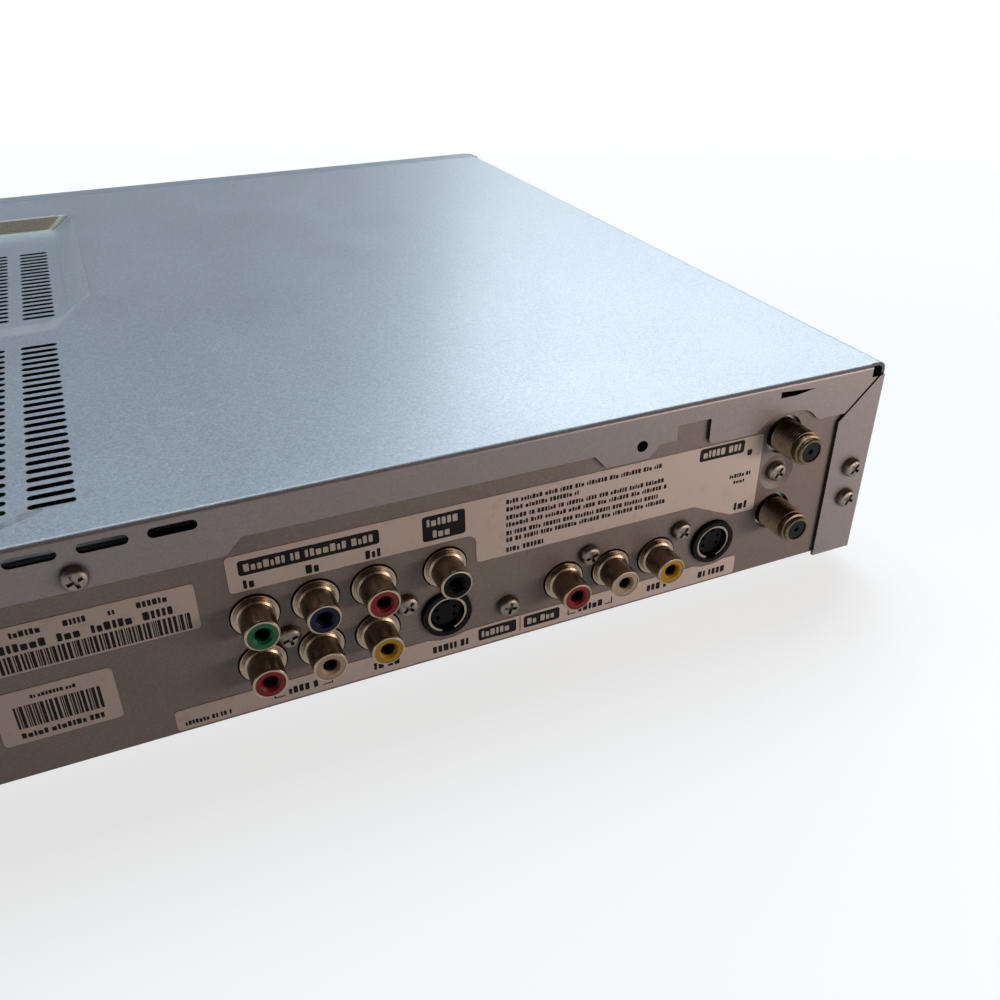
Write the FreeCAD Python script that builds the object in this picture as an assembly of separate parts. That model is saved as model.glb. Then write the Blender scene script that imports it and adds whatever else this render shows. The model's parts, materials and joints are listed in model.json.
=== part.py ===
import FreeCAD, Part
import math
import os
from FreeCAD import Vector

# A disc recorder seen from behind: folded cover, rear socket panel, moulded front, disc drive inside.
# Millimetres. X runs along the front, +Y points to the rear panel, +Z is up, z = 0 is the floor.

# Case
case_width = 420.0
case_depth = 299.0
case_height = 59.0
foot_height = 6.0
sheet = 1.0
panel_sheet = 1.0
base_sheet = 1.0
cover_edge_radius = 2.5
cover_rear_radius = 1.2
cover_skirt = 0.7
fit_gap = 0.3
slide_gap = 0.2
button_proud = 1.0
rf_reach = 10.2

# Places on the rear, given as distance from the side edge nearest the aerial sockets
# and depth below the top of the cover
side_flange_width = 14.0
mitre_inner_drop = 15.4
flange_drop = 12.9
flange_high_drop = 9.0
flange_notch_drop = 5.4
flange_notch_near = 56.9
flange_notch_far = 66.8
flange_ear_near = 74.9
flange_ear_far = 86.9
flange_step_far = 176.2
mitre_gap = 0.7
mitre_start = 3.1
arch_half = 5.9
arch_foot = 10.1
arch_drop = 8.8
flange_dip_drop = 9.6
relief_width = 5.2
relief_drop = 3.6
flange_slot_first = 184.4
flange_slot_length = 10.0
flange_slot_height = 2.4
flange_slot_drop = 3.4
flange_slot_pitch = 13.64
flange_slot_count = 10
slot_notch_drop = 5.6
slot_notch_side = 3.0
lance_notch_drop = 4.6
lance_notch_side = 1.2
relief_notch_gap = 0.6
lance_near = 24.3
lance_far = 35.6
lance_drop = 3.1
lance_height = 1.8
lance_taper = 6.0
spare_hole_at = 77.0
spare_hole_diameter = 3.1

# Vents and shallow recess in the top
vent_length = 9.6
vent_width = 2.1
vent_pitch = 4.067
vent_first_column = 206.3
vent_column_pitch = 13.6
vent_columns = 7
rear_vent_first = 14.65
rear_vent_count = 24
front_vent_first = 147.1
front_vent_count = 19
recess_depth = 4.5
recess_margin = 3.7
recess_side_slope = 8.6
recess_front_edge = 257.8
recess_front_slope = 6.2
recess_rear_edge = 119.5
recess_rear_slope = 22.5
recess_side_end = 150.0
recess_corner_back = 140.6
recess_corner_in = 5.0
recess_rear_in = 12.0
recess_rim_corner = 5.0
recess_floor_corner = 3.5
recess_floor_rear_cut = 7.0
recess_floor_side_cut = 2.0
press_grow = 0.25
# Section of the recess's border, from floor to rim, as (share of its width, share of its depth)
recess_profile = ((0.0, 0.0), (0.06, 0.02), (0.14, 0.09), (0.86, 0.91), (0.94, 0.98), (1.0, 1.0))

# Screws
screw_head_diameter = 5.6
screw_head_height = 2.1
screw_shank_diameter = 2.9
screw_hole_gap = 0.15
screw_length = 7.0
screw_head_round = 0.55
cross_width = 0.85
cross_length = 3.5
cross_depth = 0.9

# Phono sockets
phono_pitch = 14.0
phono_barrel_diameter = 8.2
phono_wall = 0.45
phono_collar_diameter = 10.9
phono_collar_reach = 0.4
phono_ridges = ((9.9, 0.8), (9.2, 1.3))  # diameter of each step above the collar and its reach
phono_reach = 7.4
phono_hole_gap = 0.4
phono_bore = 3.5
phono_floor = 1.0
phono_lip = 0.6
phono_lip_reach = 0.6
phono_tip_round = 0.55
phono_collar_step = 0.3
phono_insert_recess = 0.1
phono_insert_gap = 0.05
phono_mouth_chamfer = 0.6

# Small round video sockets
video_socket_diameter = 12.9
video_socket_reach = 0.3
video_ring_diameter = 10.4
video_ring_wall = 0.6
video_core_diameter = 8.0
video_core_recess = 1.6
video_socket_depth = 7.0
video_pin_hole = 1.1
video_key_width = 3.2
video_hole_gap = 0.2

# Aerial sockets and tuner
rf_thread_diameter = 9.4
rf_thread_pitch = 0.8
rf_thread_depth = 0.35
rf_thread_count = 10
rf_neck_diameter = 8.2
rf_ring_diameter = 8.6
rf_tip_diameter = 7.5
rf_face_diameter = 5.9
rf_centre_hole = 1.5
rf_hole_diameter = 11.4
rf_distance = 31.6
rf_high_drop = 15.8
rf_low_drop = 39.9
tuner_length = 60.0
tuner_width = 24.0
dimple_diameter = 11.0
dimple_floor = 7.6
dimple_depth = 0.8
panel_lip = 8.0
panel_lip_inset = 10.0

# Socket places
column_a = 176.0
row_high_drop = 30.8
row_low_drop = 44.6
digital_column = 130.1
video_out_column = 130.2
input_first_column = 97.4
video_in_column = 51.5
jack_screws = ((169.3, 38.7), (140.4, 38.7), (113.4, 47.4), (90.2, 38.1), (62.2, 38.1))
tuner_screw = (32.2, 27.0)
cover_screw_rear = ((209.7, 9.5), (392.0, 9.5))
side_flange_screw_drops = (30.9, 41.0)
side_flange_screw_inset = 6.4
jack_block_depth = 14.0

# Labels
label_thickness = 0.12
label_corner = 1.0
jack_label_near = 38.4
jack_label_step = 121.8
jack_label_far = 180.6
jack_label_high = 14.0
jack_label_middle = 23.6
jack_label_low = 31.9
strip_label_near = 42.2
strip_label_far = 197.5
strip_label_high = 52.1
strip_label_edge = 0.9
serial_plate = (187.7, 243.0, 18.4, 30.4)
small_plate = (207.7, 232.2, 34.7, 49.0)

# Mains inlet and fan
inlet_distance = 382.0
inlet_drop = 34.0
inlet_body_width = 24.0
inlet_body_height = 15.0
inlet_flange = 2.5
inlet_flange_sheet = 1.5
inlet_mouth_width = 17.6
inlet_mouth_height = 9.2
inlet_mouth_depth = 12.0
inlet_body_depth = 16.0
inlet_pin_diameter = 2.4
inlet_pin_pitch = 8.6
inlet_pin_length = 9.0
inlet_pin_root = 2.0
fan_distance = 285.0
fan_size = 40.0
fan_thickness = 10.0
fan_drop = 32.0
fan_bore = 37.0
fan_hub = 18.0
fan_blade_count = 7
fan_blade_sheet = 1.0
fan_tip_gap = 1.0
fan_screw_pitch = 32.0
fan_post = 5.0
grille_bar = 2.2
grille_slot = 2.6
grille_rings = 4

# Boards
board_sheet = 1.6
board_lift = 6.0
jack_board_lift = 5.2
post_diameter = 6.0
stud_diameter = 4.4
main_board_near = 10.0
main_board_far = 200.0
main_board_set_back = 39.0
main_board_depth = 129.0
power_board_near = 100.0
power_board_far = 206.0
power_board_set_back = 176.0
power_board_depth = 116.0
heat_sink_height = 26.0
fin_count = 5
fin_pitch = 10.0
fin_sheet = 1.5
transformer_x = 152.0
transformer_set_back = 230.0
jack_board_depth = 82.0
jack_board_near = 10.0
jack_board_far = 192.0
jack_board_tongue = 8.0
# Chips of the main board as (x, set-back from the front, side)
main_chips = ((70, 60, 27), (112, 62, 20), (150, 70, 14), (72, 104, 18), (108, 108, 22), (146, 112, 16),
              (176, 64, 12), (178, 100, 10))
# Capacitors as (x, set-back from the front, diameter, height)
capacitors = ((176, 206, 22, 32), (140, 196, 10, 18), (126, 196, 10, 18), (130, 268, 12, 20),
              (146, 268, 12, 20), (164, 262, 8, 14), (152, 186, 8, 14))
chip_sheet = 1.6
socket_height = 6.0
jack_ribbon_x = -57.0
lead_diameter = 1.6

# Moulded front
bezel_depth = 10.0
bezel_wall = 2.5
bezel_corner_radius = 5.4
bezel_top_radius = 1.5
door_width = 142.0
door_height = 16.0
door_centre_height = 35.0
door_thickness = 3.0
door_gap = 0.5
window_width = 164.0
window_height = 20.0
window_left = 0.0
window_centre_height = 48.0
window_lip = 2.0
flap_width = 104.0
flap_left = 66.0
flap_bottom = 9.2
flap_top = 28.0
flap_sheet = 2.2
flap_barrel_radius = 2.1
flap_pin_diameter = 2.4
flap_pin_length = 3.0
pin_gap = 0.05
small_button = 9.0
power_button_diameter = 14.0
power_button_place = (188.0, 47.0)
open_button_x = -14.0
open_button_rise = 11.0
record_button_x = 6.0
button_spacing = 20.0
cap_edge_round = 0.5
open_button_width = 12.0
open_button_height = 6.0
rocker_width = 9.0
rocker_height = 24.0
rocker_x = 188.0
rocker_z = 23.0
rocker_axis_depth = 4.4
rocker_leg_offset = 8.0
button_row_height = 20.0
button_travel = 0.8
button_stem = 4.0
button_flange = 1.2
button_flange_sheet = 1.2
switch_body = 6.0
switch_height = 3.5
switch_plunger = 3.0
switch_plunger_height = 1.0
display_board_set_back = 12.0
display_board_near = -26.0
display_board_far = 200.0
display_board_low = 9.5
display_board_middle = 31.0
display_board_high = 62.0
display_board_notch_near = 64.0
display_board_notch_far = 179.0
display_near = 12.0
display_far = 154.0
display_low = 39.0
display_high = 57.0
front_socket_height = 19.0
front_socket_first = 12.0

# Disc drive
drive_x = -100.0
drive_set_back = 14.6
drive_width = 146.0
drive_length = 182.0
drive_lift = 4.0
drive_height = 35.0
loader_wall = 4.0
loader_floor = 2.0
lid_sheet = 1.0
tray_width = 133.0
tray_bottom = 31.0
tray_top = 38.0
tray_length = 182.0
tray_well_diameter = 122.0
small_well_diameter = 82.0
tray_well_depth = 2.0
small_well_depth = 3.0
disc_set_back = 75.0
tray_slot_width = 40.0
tray_travel = 145.0
rack_pitch_radius = 8.0
rack_teeth = 16
rack_reach = 44.0
rack_height = 3.5
turntable_diameter = 27.0
turntable_top = 38.5
turntable_sheet = 3.2
cone_diameter = 14.8
cone_height = 2.0
cone_taper = 1.6
spindle_diameter = 2.0
motor_can_diameter = 24.0
motor_base_width = 32.0
clamper_diameter = 24.0
clamper_flange = 30.0
clamper_flange_sheet = 1.5
traverse_left = 46.0
traverse_right = 36.0
traverse_front = 20.0
traverse_rear = 92.0
traverse_sheet = 3.0
traverse_bottom = 25.0
traverse_pivot_back = 88.0
traverse_pivot_diameter = 4.0
traverse_pivot_drop = 1.0
rod_drop = 2.5
lead_screw_drop = 3.5
pickup_inner = 24.0
rod_diameter = 3.0
rod_offset = 29.0
screw_offset = 38.0
lead_screw_diameter = 3.0
sled_motor_diameter = 11.0
gear_offset = 52.0
gear_set_back = 17.5
gear_pulley_radius = 12.0
motor_pulley_radius = 3.0
pulley_groove = 1.2
pulley_height = 2.8
pulley_bottom = 24.4
belt_section = 1.1
loading_motor_offset = 10.0
loading_motor_diameter = 21.0
loading_motor_height = 9.4

# Worked out from the sizes above
half_width = case_width / 2
top_z = foot_height + case_height
rear_y = (case_depth + button_proud - rf_reach) / 2
front_y = rear_y - case_depth
panel_face = rear_y - sheet
panel_back = panel_face - panel_sheet
floor_z = foot_height + base_sheet
bezel_back = front_y + bezel_depth
board_z = floor_z + board_lift
jack_board_z = floor_z + jack_board_lift
jack_board_top = jack_board_z + board_sheet
display_board_y = front_y + display_board_set_back
drive_front = front_y + drive_set_back
drive_back = drive_front + drive_length
drive_bottom = floor_z + drive_lift
drive_top = drive_bottom + drive_height
disc_y = front_y + door_thickness + disc_set_back
jack_face = panel_back - slide_gap
flap_axis_y = front_y + flap_barrel_radius
flap_axis_z = flap_bottom + flap_barrel_radius
rocker_axis_y = front_y + rocker_axis_depth


def box(x0, x1, y0, y1, z0, z1):
    """Block between two corners."""
    return Part.makeBox(x1 - x0, y1 - y0, z1 - z0, Vector(x0, y0, z0))


def post(x, y, z0, z1, diameter):
    """Upright cylinder."""
    return Part.makeCylinder(diameter / 2, z1 - z0, Vector(x, y, z0), Vector(0, 0, 1))


def rod(x, z, y0, y1, diameter):
    """Cylinder along Y."""
    return Part.makeCylinder(diameter / 2, y1 - y0, Vector(x, y0, z), Vector(0, 1, 0))


def bar(y, z, x0, x1, diameter):
    """Cylinder along X."""
    return Part.makeCylinder(diameter / 2, x1 - x0, Vector(x0, y, z), Vector(1, 0, 0))


def join(shapes):
    """One solid from touching ones."""
    shapes = list(shapes)
    if len(shapes) == 1:
        return shapes[0]
    return shapes[0].multiFuse(shapes[1:]).removeSplitter()


def cut(shape, tools):
    """The shape with every tool taken out of it."""
    tools = list(tools)
    return shape.cut(tools) if tools else shape


def group(shapes):
    """Separate solids kept together."""
    return Part.makeCompound(list(shapes))


def corner_points(before, corner, after, radius):
    """Start, middle and end of the arc that rounds a corner of a flat outline."""
    if radius <= 0:
        return corner, corner, corner
    into = (before - corner).normalize()
    out = (after - corner).normalize()
    half = into.getAngle(out) / 2
    reach = radius / math.tan(half)
    split = (into + out).normalize()
    middle = corner + split * (radius / math.sin(half) - radius)
    return corner + into * reach, middle, corner + out * reach


def rounded_face(corners, place):
    """Flat face through corners (a, b, radius); place turns a and b into a point."""
    points = [Vector(a, b, 0) for a, b, radius in corners]
    bends = []
    for i, (a, b, radius) in enumerate(corners):
        bends.append(corner_points(points[i - 1], points[i], points[(i + 1) % len(points)], radius))
    edges = []
    for i, (start, middle, end) in enumerate(bends):
        if start.distanceToPoint(end) > 1e-6:
            edges.append(Part.Arc(place(start), place(middle), place(end)).toShape())
        following = bends[(i + 1) % len(bends)][0]
        if end.distanceToPoint(following) > 1e-6:
            edges.append(Part.LineSegment(place(end), place(following)).toShape())
    return Part.Face(Part.Wire(edges))


def from_side(distance):
    """X of a place on the rear, from its distance to the side edge by the aerial sockets."""
    return distance - half_width


def below_top(drop):
    """Z of a place below the top of the cover."""
    return top_z - drop


def rear_prism(corners, y0, y1):
    """Outline on the rear, as (distance from the side, depth below the top, radius), made solid."""
    face = rounded_face(corners, lambda p: Vector(from_side(p.x), y0, below_top(p.y)))
    return face.extrude(Vector(0, y1 - y0, 0))


def rear_plate(near, far, high, low, radius, y0, y1):
    """Rounded plate on the rear."""
    corners = ((near, high, radius), (far, high, radius), (far, low, radius), (near, low, radius))
    return rear_prism(corners, y0, y1)


def front_plate(x0, x1, z0, z1, radius, y0, y1):
    """Rounded plate standing across the front."""
    corners = ((x0, z0, radius), (x1, z0, radius), (x1, z1, radius), (x0, z1, radius))
    face = rounded_face(corners, lambda p: Vector(p.x, y0, p.y))
    return face.extrude(Vector(0, y1 - y0, 0))


def flat_plate(corners, z0, z1):
    """Outline seen from above, as (x, y, radius), made solid."""
    face = rounded_face(corners, lambda p: Vector(p.x, p.y, z0))
    return face.extrude(Vector(0, 0, z1 - z0))


def side_prism(corners, x0, x1):
    """Outline seen from the side, as (y, z, radius), made solid."""
    face = rounded_face(corners, lambda p: Vector(x0, p.x, p.y))
    return face.extrude(Vector(x1 - x0, 0, 0))


def turned(profile, x, z):
    """Solid turned about an axis along Y; the profile is (y, radius) from the axis and back."""
    points = [Vector(x + radius, y, z) for y, radius in profile]
    face = Part.Face(Part.makePolygon(points + points[:1]))
    return face.revolve(Vector(x, 0, z), Vector(0, 1, 0), 360)


def turned_up(profile, x, y):
    """Solid turned about an upright axis; the profile is (z, radius)."""
    points = [Vector(x + radius, y, z) for z, radius in profile]
    face = Part.Face(Part.makePolygon(points + points[:1]))
    return face.revolve(Vector(x, y, 0), Vector(0, 0, 1), 360)


def screw():
    """Cross-head screw, its head's seat at the origin and its shank pointing to -Z."""
    head = Part.makeCylinder(screw_head_diameter / 2, screw_head_height)
    rim = [edge for edge in head.Edges if edge.BoundBox.ZMin > screw_head_height / 2]
    rim = [edge for edge in rim if edge.BoundBox.ZLength < 1e-6]
    head = head.makeFillet(screw_head_height * screw_head_round, rim)
    shank = Part.makeCylinder(screw_shank_diameter / 2, screw_length, Vector(0, 0, -screw_length))
    body = head.fuse(shank)
    z = screw_head_height - cross_depth
    long, short = cross_length / 2, cross_width / 2
    wide = box(-long, long, -short, short, z, z + 2 * cross_depth)
    tall = box(-short, short, -long, long, z, z + 2 * cross_depth)
    return body.cut([wide, tall]).removeSplitter()


def screw_at(x, y, z, axis, turn=0.0):
    """Screw with its seat at a point and its head towards axis."""
    part = screw()
    part.rotate(Vector(0, 0, 0), Vector(0, 0, 1), turn)
    placement = FreeCAD.Placement(Vector(x, y, z), FreeCAD.Rotation(Vector(0, 0, 1), axis))
    return part.transformGeometry(placement.toMatrix())


def screw_hole(x, y, z, axis, depth):
    """Clearance hole for a screw, cut both ways from its seat."""
    radius = screw_shank_diameter / 2 + screw_hole_gap
    return Part.makeCylinder(radius, 2 * depth, Vector(x, y, z) - axis * depth, axis)


def vent_slot(x, y, z0, z1, length, width):
    """Round-ended upright slot along X, centred on a point."""
    half = width / 2
    straight = length / 2 - half
    middle = box(x - straight, x + straight, y - half, y + half, z0, z1)
    return middle.fuse([post(x - straight, y, z0, z1, width), post(x + straight, y, z0, z1, width)])


# Cover

def recess_tool(grow, drop):
    """Shallow dish in the top, with a flat floor, sloping borders and rounded corners."""
    far_column = vent_first_column + (vent_columns - 1) * vent_column_pitch + vent_length
    left = from_side(vent_first_column - recess_margin)
    right = from_side(far_column + recess_margin)
    z1 = top_z - drop
    z0 = z1 - recess_depth
    front = rear_y - recess_front_edge - grow
    rear = rear_y - recess_rear_edge + grow
    floor_front = rear_y - recess_front_edge + recess_front_slope - grow
    floor_rear = rear_y - recess_rear_edge - recess_rear_slope + grow
    rims = []
    floors = []
    for side, x in ((-1, left), (1, right)):
        rim_x = x + side * (recess_side_slope + grow)
        floor_x = x + side * grow
        rims.append(((rim_x, front, recess_rim_corner), (rim_x, rear_y - recess_side_end, recess_rim_corner),
                     (rim_x - side * recess_corner_in, rear_y - recess_corner_back, recess_rim_corner),
                     (rim_x - side * recess_rear_in, rear, recess_rim_corner)))
        floors.append(((floor_x, floor_front, recess_floor_corner),
                       (floor_x, floor_rear - recess_floor_rear_cut, recess_floor_corner),
                       (floor_x - side * recess_floor_side_cut, floor_rear - recess_floor_side_cut,
                        recess_floor_corner),
                       (floor_x - side * recess_floor_rear_cut, floor_rear, recess_floor_corner)))
    floor = floors[0] + tuple(reversed(floors[1]))
    rim = rims[0] + tuple(reversed(rims[1]))
    outlines = []
    for out, rise in recess_profile:
        corners = [tuple(a + (b - a) * out for a, b in zip(low, high)) for low, high in zip(floor, rim)]
        z = z0 + recess_depth * rise
        outlines.append(rounded_face(corners, lambda p, z=z: Vector(p.x, p.y, z)).OuterWire)
    return Part.makeLoft(outlines, True, True)


def vent_grid():
    """Every slot in the top of the cover."""
    slots = []
    for column in range(vent_columns):
        x = from_side(vent_first_column + column * vent_column_pitch + vent_length / 2)
        for first, count in ((rear_vent_first, rear_vent_count), (front_vent_first, front_vent_count)):
            for row in range(count):
                y = rear_y - first - row * vent_pitch
                slots.append(vent_slot(x, y, top_z - 6 * sheet, top_z + sheet, vent_length, vent_width))
    return slots


def flange_window():
    """Opening in the cover's rear wall, bounded by its flanges."""
    arch = rf_distance
    low = case_height + 2
    far = case_width - side_flange_width
    corners = ((side_flange_width, low, 0), (side_flange_width, mitre_inner_drop, 0),
               (side_flange_width - mitre_inner_drop + flange_drop, flange_drop, 0),
               (arch - arch_foot, flange_drop, 3), (arch - arch_half, arch_drop, 7),
               (arch + arch_half, arch_drop, 7), (arch + arch_foot, flange_drop, 3),
               (flange_notch_near - 1, flange_drop, 0.4), (flange_notch_near, flange_drop - 1.3, 0),
               (flange_notch_near, flange_notch_drop, 0.3), (flange_notch_far, flange_notch_drop, 0.3),
               (flange_notch_far, flange_dip_drop, 0.3), (flange_ear_near - 3.2, flange_dip_drop, 1.6),
               (flange_ear_near, flange_drop, 1.6), (flange_ear_far, flange_drop, 0.6),
               (flange_ear_far + 3.5, flange_high_drop, 0.6), (flange_step_far, flange_high_drop, 1.6),
               (flange_step_far + 3.6, flange_drop, 2),
               (far + mitre_inner_drop - flange_drop, flange_drop, 0), (far, mitre_inner_drop, 0),
               (far, low, 0))
    return rear_prism(corners, rear_y - 3 * sheet, rear_y + sheet)


def mitre_slot():
    """Narrow gap between the top flange and the side flange, by the aerial sockets."""
    end = mitre_inner_drop
    start = relief_width - mitre_start
    wide = mitre_gap * 1.4
    rise = start + end - side_flange_width
    corners = ((start, rise, 0), (start + wide, rise, 0),
               (side_flange_width + wide, end, 0), (side_flange_width, end, 0))
    return rear_prism(corners, rear_y - 3 * sheet, rear_y + sheet)


def mirrored(shape):
    """Copy on the other side of the middle."""
    return shape.mirror(Vector(0, 0, 0), Vector(1, 0, 0))


def corner_relief():
    """Small opening where the three bends of the cover meet."""
    return box(-half_width - sheet, from_side(relief_width), rear_y - 1.2 * sheet, rear_y + sheet,
               below_top(relief_drop), top_z + sheet)


def flange_slots():
    """Row of round-ended slots along the top flange."""
    slots = []
    for i in range(flange_slot_count):
        near = flange_slot_first + i * flange_slot_pitch
        high = flange_slot_drop - flange_slot_height / 2
        slots.append(rear_plate(near, near + flange_slot_length, high, high + flange_slot_height,
                                flange_slot_height / 2 - 0.01, rear_y - 3 * sheet, rear_y + sheet))
    return slots


def cover_block(inset):
    """Solid block of the cover's outside, or of its inside when inset by the sheet."""
    open_ends = 5 if inset else 0
    block = box(-half_width + inset, half_width - inset, bezel_back + slide_gap - open_ends, rear_y - inset,
                foot_height - cover_skirt - open_ends, top_z - inset)
    sides = [e for e in block.Edges
             if e.BoundBox.YLength > case_depth / 2 and e.BoundBox.ZMin > case_height / 2]
    block = block.makeFillet(cover_edge_radius - inset, sides)
    ends = [e for e in block.Edges if e.BoundBox.YMin > rear_y - inset - 1e-3
            and (e.BoundBox.ZMax > case_height / 2)]
    return block.makeFillet(cover_rear_radius - inset, ends)


def make_top_cover():
    cover = cover_block(0.0).cut(cover_block(sheet))
    cover = cover.fuse(recess_tool(press_grow, sheet)).cut(recess_tool(0.0, 0.0))
    y0, y1 = rear_y - 3 * sheet, rear_y + sheet
    tools = [flange_window(), mitre_slot(), mirrored(mitre_slot())]
    tools += [corner_relief(), mirrored(corner_relief())]
    tools += flange_slots()
    high, low = lance_drop - lance_height / 2, lance_drop + lance_height / 2
    tools.append(rear_prism(((lance_near, lance_drop, 0), (lance_near + lance_taper, low, 0),
                             (lance_far, low, 0), (lance_far, high, 0)), y0, y1))
    tools.append(rod(from_side(spare_hole_at), below_top(flange_high_drop), y0, y1, spare_hole_diameter))
    for distance, drop in cover_screw_rear:
        tools.append(screw_hole(from_side(distance), rear_y, below_top(drop), Vector(0, 1, 0), 3 * sheet))
    for drop in side_flange_screw_drops:
        for x in (from_side(side_flange_screw_inset), -from_side(side_flange_screw_inset)):
            tools.append(screw_hole(x, rear_y, below_top(drop), Vector(0, 1, 0), 3 * sheet))
    cover = cut(cover, tools)
    return cut(cover, vent_grid())


# Rear panel

def jack_points():
    """Phono sockets as (distance, drop, insert colour)."""
    columns = [column_a - i * phono_pitch for i in range(3)]
    points = [(columns[0], row_high_drop, "green"), (columns[1], row_high_drop, "blue"),
              (columns[2], row_high_drop, "red"), (columns[0], row_low_drop, "red"),
              (columns[1], row_low_drop, "white"), (columns[2], row_low_drop, "yellow"),
              (digital_column, row_high_drop, "black")]
    for i, colour in enumerate(("red", "white", "yellow")):
        points.append((input_first_column - i * phono_pitch, row_low_drop, colour))
    return points


def video_points():
    """Round video sockets as (distance, drop)."""
    return ((video_out_column, row_low_drop), (video_in_column, row_low_drop))


def grille_cuts(x, z, y0, y1):
    """Ring slots of the fan grille, each left with four bridges."""
    cuts = []
    for ring in range(grille_rings):
        inner = grille_bar + ring * (grille_bar + grille_slot)
        outer = inner + grille_slot
        if outer > fan_bore / 2:
            break
        cuts.append(rod(x, z, y0, y1, 2 * outer).cut(rod(x, z, y0, y1, 2 * inner)))
    bridge = grille_bar / 2
    reach = fan_bore
    bridges = [box(x - reach, x + reach, y0, y1, z - bridge, z + bridge),
               box(x - bridge, x + bridge, y0, y1, z - reach, z + reach)]
    return [ring.cut(bridges) for ring in cuts]


def fan_screw_points():
    """Corners of the fan's screw square."""
    half = fan_screw_pitch / 2
    x = from_side(fan_distance)
    z = below_top(fan_drop)
    return [(x + a * half, z + b * half) for a in (-1, 1) for b in (-1, 1)]


def panel_notches(y0, y1):
    """Openings of the panel behind those of the cover, so that each shows the dark inside."""
    row_end = flange_slot_first + flange_slot_count * flange_slot_pitch
    side = relief_width + relief_notch_gap
    corner = box(-half_width, from_side(side), y0, y1, below_top(side), top_z)
    return [box(from_side(flange_slot_first - slot_notch_side), from_side(row_end), y0, y1,
                below_top(slot_notch_drop), top_z),
            box(from_side(lance_near - lance_notch_side), from_side(lance_far + lance_notch_side), y0, y1,
                below_top(lance_notch_drop), top_z),
            corner, mirrored(corner),
            rod(from_side(spare_hole_at), below_top(flange_high_drop), y0, y1, spare_hole_diameter + 1)]


def make_rear_panel():
    y0 = panel_back
    y1 = panel_face
    inset = sheet + slide_gap
    right = half_width - inset
    z1 = top_z - inset
    corners = ((-right, foot_height + fit_gap, 0), (right, foot_height + fit_gap, 0),
               (right, z1, cover_edge_radius), (-right, z1, cover_edge_radius))
    plate = rounded_face(corners, lambda p: Vector(p.x, y0, p.y)).extrude(Vector(0, y1 - y0, 0))
    lip = box(-half_width + panel_lip_inset, half_width - panel_lip_inset, y0 - panel_lip, y1, floor_z,
              floor_z + panel_sheet)
    dimple_x = from_side(tuner_screw[0])
    dimple_z = below_top(tuner_screw[1])
    bulge, hollow = [turned(((y, 0), (y, dimple_diameter / 2), (y - dimple_depth, dimple_floor / 2),
                             (y - dimple_depth, 0)), dimple_x, dimple_z) for y in (y0, y1)]
    panel = join([plate, lip, bulge]).cut(hollow)
    tools = []
    for distance, drop, colour in jack_points():
        hole = phono_collar_diameter + 2 * phono_hole_gap
        tools.append(rod(from_side(distance), below_top(drop), y0 - 1, y1 + 1, hole))
    for distance, drop in video_points():
        hole = video_socket_diameter + 2 * video_hole_gap
        tools.append(rod(from_side(distance), below_top(drop), y0 - 1, y1 + 1, hole))
    for drop in (rf_high_drop, rf_low_drop):
        tools.append(rod(from_side(rf_distance), below_top(drop), y0 - 1, y1 + 1, rf_hole_diameter))
    out = Vector(0, 1, 0)
    for distance, drop in jack_screws + (tuner_screw,) + cover_screw_rear:
        tools.append(screw_hole(from_side(distance), y1, below_top(drop), out, 4 * panel_sheet))
    for drop in side_flange_screw_drops:
        for x in (from_side(side_flange_screw_inset), -from_side(side_flange_screw_inset)):
            tools.append(screw_hole(x, y1, below_top(drop), out, 3 * panel_sheet))
    tools += panel_notches(y0 - 1, y1 + 1)
    inlet_x = from_side(inlet_distance)
    inlet_z = below_top(inlet_drop)
    half_w = inlet_body_width / 2 + slide_gap
    half_h = inlet_body_height / 2 + slide_gap
    tools.append(box(inlet_x - half_w, inlet_x + half_w, y0 - 1, y1 + 1, inlet_z - half_h, inlet_z + half_h))
    tools += grille_cuts(from_side(fan_distance), below_top(fan_drop), y0 - 1, y1 + 1)
    for x, z in fan_screw_points():
        tools.append(screw_hole(x, y1, z, out, 3 * panel_sheet))
    return cut(panel, tools)


def jack_label():
    """Label round the upper sockets: a long band with a deeper block by the aerial sockets."""
    near, far, step = jack_label_near, jack_label_far, jack_label_step
    high, middle, low = jack_label_high, jack_label_middle, jack_label_low
    corners = ((near, high, label_corner), (far, high, label_corner), (far, middle, label_corner),
               (step, middle, 2.4), (step, low, label_corner), (58.6, low, 2),
               (46.3, low + 5.5, 2), (near, low + 5.8, label_corner))
    return rear_prism(corners, panel_face, panel_face + label_thickness)


def strip_label():
    """Long label along the lower edge, dipped under both round video sockets."""
    high = strip_label_high
    low = case_height - strip_label_edge
    corners = [(strip_label_near, high, label_corner)]
    for middle in (video_in_column, video_out_column):
        corners += [(middle - 5, high, 1), (middle - 2, high + 0.8, 3), (middle + 2, high + 0.8, 3),
                    (middle + 5, high, 1)]
    corners += [(strip_label_far, high, label_corner), (strip_label_far, low, label_corner),
                (strip_label_near, low, label_corner)]
    return rear_prism(corners, panel_face, panel_face + label_thickness)


def make_panel_labels():
    return group([jack_label(), strip_label()])


def make_serial_labels():
    return group([rear_plate(near, far, high, low, label_corner, panel_face, panel_face + label_thickness)
                  for near, far, high, low in (serial_plate, small_plate)])


# Sockets

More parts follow.
